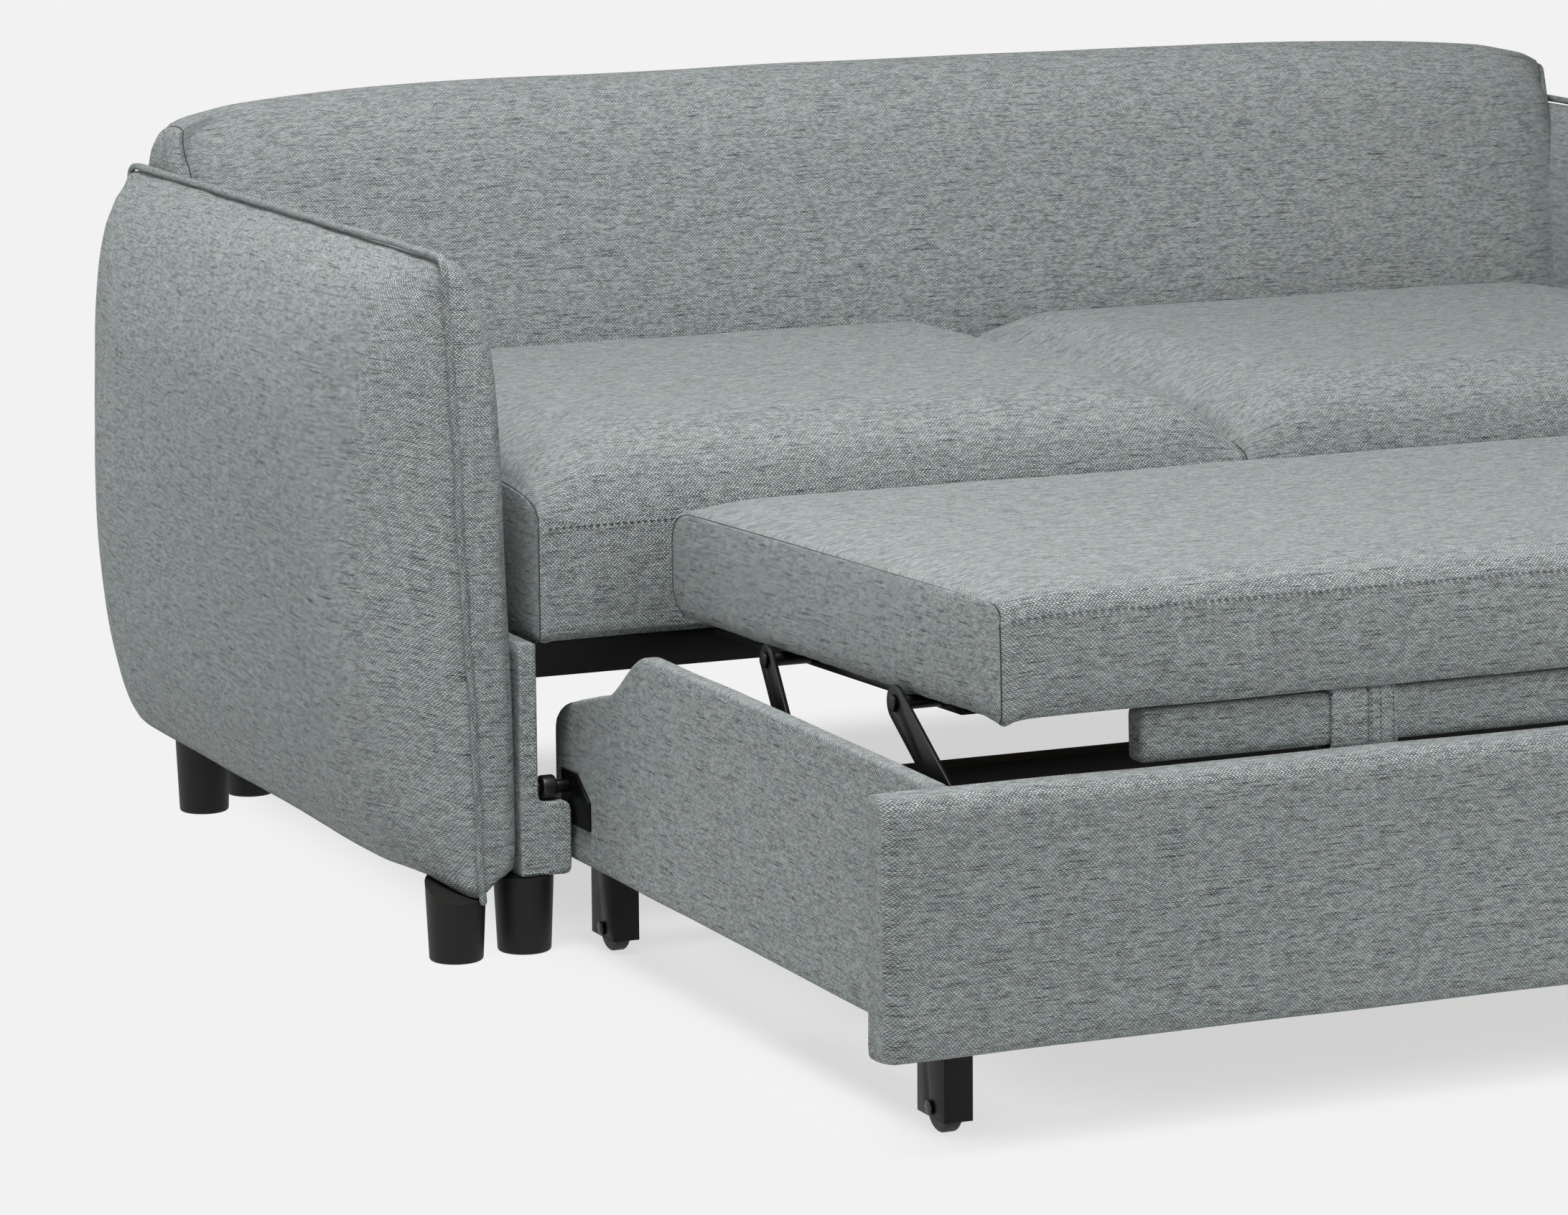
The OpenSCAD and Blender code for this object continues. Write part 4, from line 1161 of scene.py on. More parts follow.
@dataclass
class Arm:
    """One padded arm: a flat inner panel, a narrow front and a bulged outer panel.

    The outer line gives heights with their share of the bulge. The inner line gives
    places in from the welt and down from the top. The rows along the arm give how far
    back from its front they are, the share of the bulge, how far the inner side is
    drawn in and how far the bottom hangs.
    """

    low: float = 80.0
    knee: float = 200.0
    edge_at_floor: float = 760.0
    edge_lean: float = 0.046875
    bulge: float = 86.0
    top: float = 623.0
    inner_share: float = 0.9382
    front: float = -60.0
    outer_line: tuple = (
        (80, 0.64), (95, 0.74), (130, 0.86), (200, 0.965), (300, 1), (400, 0.98),
        (470, 0.93), (530, 0.83), (575, 0.68), (600, 0.5), (615, 0.27), (622, 0.06),
    )  # fmt: skip
    inner_line: tuple = (
        (14, 0), (26, -6), (40, -24), (50, -56), (56, -90), (60, -130), (64, -200),
        (67, -300), (69, -420), (69.5, -520),
    )  # fmt: skip
    along: tuple = (
        (0, 0.02, 13, 22), (4, 0.14, 7, 21), (11, 0.30, 3, 17), (22, 0.50, 0, 10), (40, 0.72, 0, 3),
        (66, 0.91, 0, 0), (110, 1, 0, 0), (330, 1, 0, 0), (600, 1, 0, 0), (765, 1, 0, 0),
        (815, 0.93, 0, 0), (845, 0.77, 0.5, -8), (865, 0.50, 2, -28), (876, 0.27, 6, -46), (880, 0.06, 10, -60),
    )  # fmt: skip
    counts: tuple = ((60,), (10,), (60,), (10,))
    welt_radius: float = 3.4
    welt_front: tuple = (-63.5, (56, 120, 240, 360, 480, 560, 600))  # its Y, and its heights
    welt_corner: tuple = (-47, 609.5, 17.5)  # Y, Z and radius of its front corner
    welt_top: tuple = (789.4, 626.8, (-30, 10, 120, 300, 500, 650, 770))  # X, Z, and places along Y
    welt_rear: tuple = (
        (789.3, 805.0, 625.5), (789.0, 817.0, 620.0), (788.2, 822.0, 607.0), (787.0, 823.0, 585.0),
        (785.5, 823.0, 560.0),
    )  # fmt: skip

    def edge(self, z: float) -> float:
        """Place of the welt across the sofa at a height."""
        return self.edge_at_floor + self.edge_lean * z

    def ring(self, y: float, b: float, d: float, droop: float) -> np.ndarray:
        """One ring across the arm, in metres.

        Args:
            y: Station along the arm.
            b: Share of the outer bulge.
            d: How far the inner side is drawn in.
            droop: How far the bottom hangs.

        Returns:
            The ring's points.
        """
        low, inner_low = self.low - droop, self.low - 0.2 * droop

        def height(z: float, foot: float) -> float:
            """Stretch a height below the knee so that the lowest one stands at the foot."""
            return foot + (z - self.low) * (self.knee - foot) / (self.knee - self.low)

        outer = []
        for z, share in self.outer_line:
            up = height(z, low) if z <= self.knee else max(z - d * 0.5, low + (z - self.low) * 0.55)
            outer.append((self.edge(z) + b * share * self.bulge, up))
        inner = []
        for dx, dz in self.inner_line:
            z = self.top + dz - 0.6 * d
            x = self.edge(self.top) - dx * self.inner_share + d * min(1, dx / 40)
            inner.append((x, height(z, inner_low) if z <= self.knee else z))
        rise = [(733 + d, inner_low), (727 + d, inner_low + 4), *inner[:1:-1]]
        over = [inner[2], inner[1], inner[0], outer[-1], outer[-2], outer[-3]]
        fall = list(outer[-3::-1])
        under = [fall[-1], rise[0]]
        flat = outline([[rise], [over], [fall], [under]], self.counts)
        return np.column_stack([flat[:, 0], np.full(len(flat), y * MM), flat[:, 1]])

    def build(self) -> tuple[bpy.types.Object, bpy.types.Object]:
        """Build the right arm's cover and welt.

        Returns:
            The cover and the welt, undressed for the left arm to be mirrored from.
        """
        marks = [row[0] for row in self.along]
        at = np.concatenate(
            [np.linspace(0, 24, 11), spread([24, 110], 6)[1:], spread([110, 800], 9)[1:], spread([800, 880], 4)[1:]]
        )
        b, d, droop = (eased(at, marks, [row[k] for row in self.along]) for k in (1, 2, 3))
        rings = np.array([self.ring(self.front + p, *row) for p, *row in zip(at, b, d, droop)])
        rise, over = self.counts[0][0], self.counts[1][0]
        skin = SewnSkin("arm_cover_right", rings, rise, over, cap_bulge=(4.0, 2.0)).build()
        hold = pinned(skin, *rings.shape[:2], (0, rise + over // 2), 2 * rise + over)
        outside = coordinates(skin)[:, 0] > 0.79
        inflate(skin, hold, cap=np.where(outside, 6.0, 2.0), calm=40)
        settle(skin, height=1.6, length=160, seed=3.7)
        return skin, self.welt()

    def welt(self) -> bpy.types.Object:
        """Build the cord that edges the front and the top of the arm."""
        y, heights = self.welt_front
        rise = [(self.edge(z) + 1, y, float(z)) for z in heights]
        y, z, r = self.welt_corner
        turn = np.radians((15, 35, 55, 75))
        corner = [(self.edge(614) + 0.6, y - r * math.cos(a), z + r * math.sin(a)) for a in turn]
        x, z, stations = self.welt_top
        back = [(x, float(y), z) for y in stations]
        path = curve_through([*rise, *corner, *back, *self.welt_rear], 360) * MM
        run = path_length(path)
        path[:, 0] += (np.sin(run * 61) * 0.6 + np.sin(run * 23 + 1) * 0.7) * MM
        cord = tube("arm_piping_right", path, self.welt_radius * MM, 14)
        settle(cord, height=0.4, length=25, seed=9.1)
        return cord


@dataclass
class Backrest:
    """The back pad, rounded over its crest and drooping to sewn end panels.

    The fades give, for a distance in from an end, how far the front is set back and
    how far the crest is lowered.
    """

    half: float = 771.0
    crest: float = 722.0
    foot: float = 600.0  # height above which the crest is lowered towards the ends
    front_line: tuple = (
        (606, 285), (605, 290), (606, 330), (609, 400), (613, 445), (621, 490), (634, 540), (648, 590), (660, 628),
    )  # fmt: skip
    top_line: tuple = (
        (660, 628), (674, 658), (694, 684), (716, 700), (742, 708), (766, 705), (786, 694), (802, 672), (811, 640),
    )  # fmt: skip
    rear_line: tuple = ((811, 640), (817, 580), (822, 480), (825, 380), (826, 298), (822, 287), (814, 284))
    under_line: tuple = ((814, 284), (606, 285))
    counts: tuple = ((44,), (18,), (44,), (18,))
    near: tuple = (0, 1.2, 3, 5.5, 9, 14, 20, 28, 36)  # places of the first rings from an end
    fades: tuple = (
        (0, 46, 41), (3, 38, 34.5), (8, 28, 29.5), (16, 18, 25.5), (30, 8, 22), (70, 1, 14.5),
        (211, 0, 4.5), (400, 0, 1), (771, 0, 0),
    )  # fmt: skip
    seam_row: int = 2
    seam_depth: float = 2.2
    seam_ridge: float = 0.4
    # radius of the dark cord laid in each end seam as a painted shadow line
    seam_radius: float = 0.9

    def rings(self) -> np.ndarray:
        """Rings from the left end to the right end, in metres."""
        lines = (self.front_line, self.top_line, self.rear_line, self.under_line)
        y, z = (outline([[line] for line in lines], self.counts) / MM).T
        near = np.array(self.near)
        inner = spread([-self.half + near[-1], self.half - near[-1]], 10)
        at = np.concatenate([-self.half + near[:-1], inner, self.half - near[:-1][::-1]])
        marks, insets, droops = zip(*self.fades)
        gap = self.half - np.abs(at)
        rows = []
        for x, inset, droop in zip(at, eased(gap, marks, insets), eased(gap, marks, droops)):
            back = y + np.minimum(np.maximum(0, self.crest - y) * 0.85, inset)
            down = z - droop * np.maximum(0, (z - self.foot) / 108)
            rows.append(np.column_stack([np.full(len(y), x), back, down]) * MM)
        return np.array(rows)

    def build(self, wardrobe: Wardrobe) -> None:
        """Build and dress the backrest.

        Args:
            wardrobe: The finishes.
        """
        rings = self.rings()
        n, around = rings.shape[:2]
        rise, over = self.counts[0][0], self.counts[1][0]
        covered = 2 * rise + over
        pad = SewnSkin("back_cushion", rings, rise, over, cap_bulge=(12.0, 12.0)).build()
        inflate(pad, pinned(pad, n, around, (0,), covered), cap=5.0, calm=24)
        settle(pad, height=1.8, length=190, seed=5.3)
        grid = np.arange(n * around).reshape(n, around)
        places, out = coordinates(pad), normals_of(pad)
        ends = {"left": self.seam_row, "right": n - 1 - self.seam_row}
        for seam in ends.values():
            for row, by in ((seam, -self.seam_depth), (seam - 1, self.seam_ridge), (seam + 1, self.seam_ridge)):
                places[grid[row]] += out[grid[row]] * by * MM
        set_coordinates(pad, places)
        places, out = coordinates(pad), normals_of(pad)
        # Painted shadow: a thin dark cord along each end seam stands in for the shade in its groove
        for end, row in ends.items():
            line = grid[row, :covered]
            seam = tube(f"back_seam_{end}", places[line] + out[line] * 0.2 * MM, self.seam_radius * MM, 6)
            dress(seam, wardrobe.shadow_thread, Slot.FABRIC, "sofa")
        dress(pad, wardrobe.cloth, Slot.FABRIC, "sofa", "backrest")


# ---------------------------------------------------------------- sub-assemblies


@dataclass
class Sofa:
    """The fixed part: arms, back, seat, rails, steel seat frame and legs."""

    wardrobe: Wardrobe
    seat_middle: Sides = (
        (((-49, 281), (-51, 286), (-51, 330), (-51, 389)), ((-51, 389), (-50.5, 400), (-47, 415), (-39, 431))),
        (((-39, 431), (-24, 444), (0, 453), (30, 457.5), (70, 459), (220, 459.5), (400, 458), (520, 455), (575, 447)),),
        (((575, 447), (594, 437), (602, 420), (604, 400), (604, 340), (604, 287), (601, 281)),),
        (((601, 281), (-49, 281)),),
    )
    seat_end: Sides = (
        (((-48, 281), (-50, 286), (-50, 330), (-49.5, 388)), ((-49.5, 388), (-46, 395), (-37, 401), (-22, 405))),
        (((-22, 405), (5, 409), (62, 413), (150, 418), (300, 422), (450, 422), (540, 419), (575, 413)),),
        (((575, 413), (594, 404), (602, 392), (603, 380), (603, 330), (603, 287), (600, 281)),),
        (((600, 281), (-48, 281)),),
    )
    seat_counts: Counts = ((16, 6), (50,), (22,), (50,))
    seat_gap: float = 1.5  # from the middle of the sofa to the inner end of a seat cushion
    seat_reach: float = 702.0
    rail_inner: Sequence[Sequence[Point]] = (
        ((705.0, 70.6), (680.0, 70.0), (676.4, 71.2), (674.6, 74.0)),
        ((674.6, 74.0), (674.0, 80.0), (674.0, 126.0), (675.2, 132.0)),
        ((675.2, 132.0), (678.0, 135.2), (684.0, 136.0), (703.0, 136.4)),
        ((703.0, 136.4), (705.0, 138.4), (705.0, 200.0), (705.4, 279.0)),
    )
    rail_top: Sequence[Point] = ((705.4, 279.0), (708.0, 280.0), (720.0, 280.0), (722.2, 279.0))
    rail_outer: Sequence[Point] = (
        (722.2, 279.0), (722.5, 200.0), (722.5, 150.0), (722.5, 110.0), (722.2, 71.0),
    )  # fmt: skip
    rail_foot: Sequence[Point] = ((722.2, 71.0), (720.0, 70.2), (708.0, 70.2), (705.0, 70.6))
    boards: tuple = (
        ("arm_frame_left", (-786, -40, 85), (-742, 774, 555)),
        ("arm_frame_right", (742, -40, 85), (786, 774, 555)),
        ("back_board", (-714, 748, 288), (714, 762, 640)),
    )  # the hidden boards and the corners that they are kept between
    leg_rows: tuple = (
        ("arm_leg", 780.0, 80.0, (("front", -36.0), ("rear", 666.0))),
        ("base_leg", 712.0, 70.0, (("front", -27.0), ("rear", 725.0))),
    )  # kind, X, height, and the Y of each end
    leg_radii: tuple[float, float] = (24.0, 27.0)  # at the foot and at the top
    leg_edge: float = 2.8
    leg_sole: tuple[float, float] = (4.0, 0.6)  # how far in the sole is set, and how deep
    cover_foot: tuple = ((-63, -55, -46, -36, -22, -7, 0), (55, 57, 62, 67, 73, 78, 80))  # its heights along Y

    def build(self) -> None:
        """Build every piece of the sofa."""
        self.arms()
        Backrest().build(self.wardrobe)
        self.seat()
        self.rails()
        self.frame()
        self.legs()

    def arms(self) -> None:
        """Build both arms and their welts."""
        cover, cord = Arm().build()
        other, other_cord = mirrored(cover, "arm_cover_left"), mirrored(cord, "arm_piping_left")
        for piece, node in ((cover, "arm_right"), (other, "arm_left")):
            dress(piece, self.wardrobe.cloth, Slot.FABRIC, "sofa", node)
        for piece, node in ((cord, "arm_welt_right"), (other_cord, "arm_welt_left")):
            dress(piece, self.wardrobe.shaded_cord_cloth, Slot.FABRIC, "sofa", node)

    def seat(self) -> None:
        """Build the two seat cushions."""
        for side in Side:
            low, high = sorted((side.value * self.seat_gap, side.value * self.seat_reach))
            Cushion(
                name=f"seat_pad_{side.name.lower()}",
                node=f"seat_cushion_{side.name.lower()}",
                body="sofa",
                x0=low,
                x1=high,
                middle=self.seat_middle,
                end=self.seat_end,
                counts=self.seat_counts,
                roll=75.0,
                seam=16,
                swell=6.0,
                end_swell=(4.0, 0.8) if side is Side.LEFT else (0.8, 4.0),
                fill=0.75,
                step=9.0,
                waves=1.1,
            ).build(self.wardrobe)

    def rails(self) -> None:
        """Build the fabric covered side rails, their ledges and the rear panel."""
        cloth = self.wardrobe.cloth
        outer = list(zip(self.rail_outer, self.rail_outer[1:]))
        sides = [self.rail_inner, [self.rail_top], outer, [self.rail_foot]]
        counts = ((8, 12, 10, 18), (5,), (8, 12, 10, 18), (5,))
        right = wrapped("side_rail_cover_right", sides, counts, -50.0, 786.0, 3.0, 14, "Y")
        settle(right, height=0.4, length=90, seed=1.3)
        left = mirrored(right, "side_rail_cover_left")
        dress(right, cloth, Slot.FABRIC, "sofa", "side_rail_right")
        dress(left, cloth, Slot.FABRIC, "sofa", "side_rail_left")
        box, counts = rounded_box(790, 826, 90, 283.7, 5.0), ((22,), (5,), (22,), (5,))
        panel = wrapped("rear_panel_cover", box, counts, -721, 721, 6.0, 12)
        settle(panel, height=0.6, length=120, seed=2.2)
        dress(panel, cloth, Slot.FABRIC, "sofa", "rear_panel")

    def frame(self) -> None:
        """Refine the steel and timber that carry the seat and the back."""
        box = self.wardrobe
        for node in ("front_beam", "rear_beam", "centre_beam", "corner_brackets"):
            refined(node, box.steel, Slot.STEEL, 0.8)
        refined("seat_slats", box.timber, Slot.TIMBER, 1.2)
        for node, low, high in self.boards:
            held_in(refined(node, box.timber, Slot.TIMBER, 1.2), low, high)
        for node in ("arm_bolts", "leg_bolts"):
            refined(node, box.zinc, Slot.ZINC, 0.5)

    def legs(self) -> None:
        """Turn the eight legs, one shape for each height."""
        for kind, x, height, rows in self.leg_rows:
            pattern = self.turned_leg(height)
            for end, y in rows:
                for side in Side:
                    name = f"{kind}_{end}_{side.name.lower()}"
                    copy = object_from(name + "_turned", pattern.data.copy())
                    copy.data.transform(Matrix.Translation((side.value * x * MM, y * MM, 0)))
                    if (kind, end) == ("arm_leg", "front"):
                        self.cut_under_cover(copy)
                    dress(copy, self.wardrobe.leg, Slot.LEG, "sofa", name)
            bpy.data.objects.remove(pattern)

    def cut_under_cover(self, leg: bpy.types.Object) -> None:
        """Cut the top of a front arm leg to the foot of the cover, which hangs down in front of it."""
        places = coordinates(leg)
        foot = np.interp(places[:, 1] / MM, *self.cover_foot)
        places[:, 2] = np.minimum(places[:, 2], foot * MM)
        set_coordinates(leg, places)

    def turned_leg(self, height: float) -> bpy.types.Object:
        """Turn one tapered leg with an eased foot, standing at the middle.

        Args:
            height: Height of the leg in millimetres.

        Returns:
            The pattern leg.
        """
        for other in bpy.context.selected_objects:
            other.select_set(False)
        foot, top = (radius * MM for radius in self.leg_radii)
        bpy.ops.mesh.primitive_cone_add(
            vertices=72, radius1=foot, radius2=top, depth=height * MM, location=(0, 0, height * MM / 2)
        )
        leg = bpy.context.object
        leg.data.transform(leg.matrix_world)
        leg.matrix_world = Matrix.Identity(4)
        bpy.ops.object.mode_set(mode="EDIT")
        work = bmesh.from_edit_mesh(leg.data)
        for edge in work.edges:
            edge.select = abs(edge.verts[0].co.z - edge.verts[1].co.z) < 1e-6 and edge.verts[0].co.z < 0.001
        bmesh.update_edit_mesh(leg.data)
        bpy.ops.mesh.bevel(offset=self.leg_edge * MM, segments=4, profile=0.5, affect="EDGES")
        bpy.ops.mesh.select_all(action="DESELECT")
        work = bmesh.from_edit_mesh(leg.data)
        for face in work.faces:
            face.select = face.normal.z < -0.99 and face.calc_area() > 1e-4
        bmesh.update_edit_mesh(leg.data)
        inset, depth = (size * MM for size in self.leg_sole)
        bpy.ops.mesh.inset(thickness=inset)
        bpy.ops.transform.translate(value=(0, 0, depth))
        bpy.ops.object.mode_set(mode="OBJECT")
        bpy.ops.object.shade_smooth_by_angle(angle=math.radians(35))
        return leg


@dataclass
class Trundle:
    """The pulled-out base: fabric panels, steel legs, wheels and guide rollers."""

    wardrobe: Wardrobe
    front_sides: Sides = (
        (((-823, 81.5), (-826, 89), (-826, 275), (-822, 284)),),
        (((-822, 284), (-815, 287.5), (-794, 287.5), (-789.5, 285)),),
        (((-789.5, 285), (-788, 281), (-788, 84), (-789.5, 80.5)),),
        (((-789.5, 80.5), (-794, 78), (-816, 78), (-823, 81.5)),),
    )
    front_half: float = 724.0
    front_corner: float = 8.5  # how far the front face rounds back at both ends
    side_front: float = -787.4
    side_rear: float = 5.0
    side_foot: float = 79.5
    side_low: float = 238.0  # height of the rear end, below the S curve
    side_top: float = 290.5
    side_walls: tuple[float, float] = (652.0, 668.0)
    s_curve: tuple[float, float] = (108.0, 110.0)  # its start from the rear end, and its length
    rear_steps: tuple = ((88, 4), (65, 9.5), (45, 15), (27, 20), (14, 26.5), (6, 33), (1.5, 39), (0, 50))

    def build(self) -> None:
        """Build every piece of the trundle."""
        self.panels()
        box = self.wardrobe
        for node in ("front_cross_tube", "rear_cross_tube", "link_rails"):
            refined(node, box.steel, Slot.STEEL, 1.0)
        for end in ("front", "rear"):
            for side in ("left", "right"):
                refined(f"wheel_leg_{end}_{side}", box.steel, Slot.STEEL, 1.6)
                refined(f"wheel_{end}_{side}", box.rubber, Slot.RUBBER, 0.8)
        refined("roller_brackets", box.steel, Slot.STEEL, 0.6)
        for side in ("left", "right"):
            refined(f"guide_roller_{side}", box.nylon, Slot.NYLON, 0.8)
        refined("wheel_axles", box.dark_zinc, Slot.ZINC, 0.7)
        for node in ("roller_pins", "lower_pivot_pins"):
            refined(node, box.steel, Slot.STEEL, 0.7)

    def panels(self) -> None:
        """Build the front panel and the two stepped side panels."""
        cloth, half, depth = self.wardrobe.cloth, self.front_half, self.front_corner * MM
        counts = ((26,), (6,), (26,), (6,))
        front = wrapped("front_panel_cover", self.front_sides, counts, -half, half, 9.0, 11, ease=1.5)
        places = coordinates(front)
        cut = np.clip(depth - (half * MM - np.abs(places[:, 0])), 0, depth)
        places[:, 1] += cut * smooth_step(-0.790, -0.815, places[:, 1])
        set_coordinates(front, places)
        settle(front, height=0.8, length=100, seed=8.4)
        dress(front, cloth, Slot.FABRIC, "trundle", "trundle_front_panel")
        counts = ((20,), (84,), (20,), (84,))
        right = wrapped("side_panel_cover_right", self.side_outline(), counts, *self.side_walls, 4.0, 4)
        settle(right, height=0.7, length=100, seed=4.9)
        left = mirrored(right, "side_panel_cover_left")
        dress(right, cloth, Slot.FABRIC, "trundle", "trundle_side_right")
        dress(left, cloth, Slot.FABRIC, "trundle", "trundle_side_left")

    def side_outline(self) -> Sides:
        """Outline of a side panel, whose top runs down in an S curve to its rounded rear end."""
        front, rear = self.side_front, self.side_rear
        foot, low, top = self.side_foot, self.side_low, self.side_top
        start, run = self.s_curve
        crest = [
            (rear - start - run * u, low + 1 + (top - low - 1) * (0.5 - 0.5 * math.cos(math.pi * u)))
            for u in np.linspace(1, 0, 11)
        ]
        slope = [(rear - a, low - b) for a, b in self.rear_steps]
        return [
            [[(front, foot), (front, top - 4)]],
            [[(front, top - 4), (front + 1.4, top - 3), *crest, *slope[:5]]],
            [[*slope[4:], (rear, foot + 9), (rear - 2, foot + 3), (rear - 7, foot)]],
            [[(rear - 7, foot), (front, foot)]],
        ]


@dataclass
class MattressLift:
    """The rising platform: links, tube frame, deck, mattress, grip board and straps.

    Its outlines are drawn level, from the lower rear edge of the mattress.
    """

    wardrobe: Wardrobe
    tilt: float = 1.8
    origin: tuple[float, float, float] = (0.0, -130.0, 312.0)
    mattress_half: float = 609.0
    mattress_middle: Sides = (
        (((-656, 0.5), (-660, 4), (-660, 40), (-660, 90)), ((-660, 90), (-657.5, 94.5), (-648, 97.6), (-634, 99.5))),
        (((-634, 99.5), (-610, 100.7), (-500, 101.2), (-300, 101.2), (-90, 100.6), (-44, 99)),),
        (((-44, 99), (-22, 95), (-7, 84), (0, 66), (0, 26), (-7, 8), (-24, 0.6)),),
        (((-24, 0.6), (-656, 0.5)),),
    )
    mattress_end: Sides = (
        (((-655, 0.5), (-659, 4), (-659, 40), (-658, 82)), ((-658, 82), (-655, 88), (-648, 91.4), (-636, 92))),
        (((-636, 92), (-610, 92.3), (-500, 92.6), (-300, 92.6), (-90, 92.3), (-40, 92)),),
        (((-40, 92), (-20, 88.5), (-6, 78), (-1, 62), (-1, 28), (-8, 9), (-24, 0.6)),),
        (((-24, 0.6), (-655, 0.5)),),
    )
    grip_half: float = 485.0
    strap_place: float = 287.0
    strap_half: float = 30.0
    strap_rows: tuple = (-25.5, -13.0, 5.5, 14.0, 25.5)  # the rows of stitches across a strap
    strap_thread: tuple[float, float, float] = (3.0, 1.6, 0.9)  # a stitch, the gap after it, its thickness
    strap_face: float = 1.7  # how far the band's outer face stands out from its outline
    strap_under: float = 0.9  # how far its inner face stands inside it

    def build(self) -> None:
        """Build every piece of the lift."""
        box = self.wardrobe
        for node in ("front_link_left", "front_link_right", "rear_link_left", "rear_link_right"):
            refined(node, box.steel, Slot.STEEL, 0.9)
        for node in ("platform_rails", "platform_crossbars"):
            refined(node, box.steel, Slot.STEEL, 1.0)
        refined("upper_pivot_pins", box.steel, Slot.STEEL, 0.6)
        refined("grip_screws", box.zinc, Slot.ZINC, 0.4)
        refined("deck_board", box.timber, Slot.TIMBER, 0.5)
        self.mattress()
        self.grip()
        self.straps()

    def mattress(self) -> None:
        """Build the pull-out mattress."""
        Cushion(
            name="mattress_pad",
            node="pullout_mattress",
            body="platform",
            x0=-self.mattress_half,
            x1=self.mattress_half,
            middle=self.mattress_middle,
            end=self.mattress_end,
            counts=((11, 4), (60,), (15,), (60,)),
            roll=62.0,
            seam=11,
            swell=3.0,
            end_swell=(2.5, 2.5),
            fill=0.7,
            step=10.0,
            waves=1.2,
            tilt=self.tilt,
            origin=self.origin,
            sag=4.0,
        ).build(self.wardrobe)

    def grip(self) -> None:
        """Build the fabric covered grip board."""
        box, counts = rounded_box(-655, -628, -45, -2, 5.0), ((8,), (5,), (8,), (5,))
        board = wrapped("grip_board_cover", box, counts, -self.grip_half, self.grip_half, 5.0, 12)
        settle(board, height=0.4, length=70, seed=6.6)
        tipped(board, self.tilt, self.origin)
        dress(board, self.wardrobe.cloth, Slot.FABRIC, "platform", "grip_board")

    def strap_profile(self) -> tuple[np.ndarray, np.ndarray]:
        """Places across a strap and how far its face stands out there, in metres.

        Returns:
            The places, and the lift at each: ribs on the folded part, a groove beside
            it, a flatter part after that, and thin edges.
        """
        half = self.strap_half
        at = np.linspace(-half, half, 121)
        folded = at < 2.5
        ribs = 0.55 * np.abs(np.sin(math.pi * (at + half) / 6.5))
        ribs = np.where(folded, ribs, 0.25 * np.abs(np.sin(math.pi * at / 13.0)))
        groove = self.strap_face * np.exp(-(((at - 3.0) / 0.9) ** 2))
        lift = (self.strap_face + ribs + 0.5 * folded - groove) * MM
        return at * MM, lift * np.sqrt(np.clip((half + 0.3 - np.abs(at)) / 1.6, 0.05, 1))

    def straps(self) -> None:
        """Wrap the two pull straps round the grip board and sew them."""
        counts = ((14,), (8,), (14,), (8,))
        line = outline(rounded_box(-656, -625, -49.5, -1.0, 6.0), counts)
        out = line - shrunk(line, MM)
        out /= np.linalg.norm(out, axis=1, keepdims=True)
        across, lift = self.strap_profile()
        under = np.full(len(across), -self.strap_under * MM)
        band = list(zip([*across, *across[::-1]], [*lift, *under]))
        sewn = counts[0][0] * 2 + 4  # the stitches run over the front and the top of the band
        length, gap, thick = (size * MM for size in self.strap_thread)
        for side in Side:
            x, name = side.value * self.strap_place * MM, side.name.lower()
            points = [(x + a, *(p + o * h)) for p, o in zip(line, out) for a, h in band]
            strap = object_of(f"pull_strap_{name}", points, bands(len(line), len(band), closed=True))
            face_outwards(strap)
            box_map(strap)
            facing = np.column_stack([np.zeros(sewn), out[:sewn]])
            rows = []
            for number, a in enumerate(self.strap_rows, 1):
                face = line + out * self.strap_face * MM
                path = np.column_stack([np.full(len(line), x + a * MM), face])[:sewn]
                rows.append(stitches(f"strap_stitches_{name}_{number}", path, facing, length, gap, thick))
            for piece in (strap, *rows):
                tipped(piece, self.tilt, self.origin)
            dress(strap, self.wardrobe.cloth, Slot.FABRIC, "platform", "pull_straps")
            # The strap stitches use the same dark thread as the seam shadow lines, darker than the cloth
            for row in rows:
                dress(row, self.wardrobe.shadow_thread, Slot.FABRIC, "platform")


# ---------------------------------------------------------------- studio


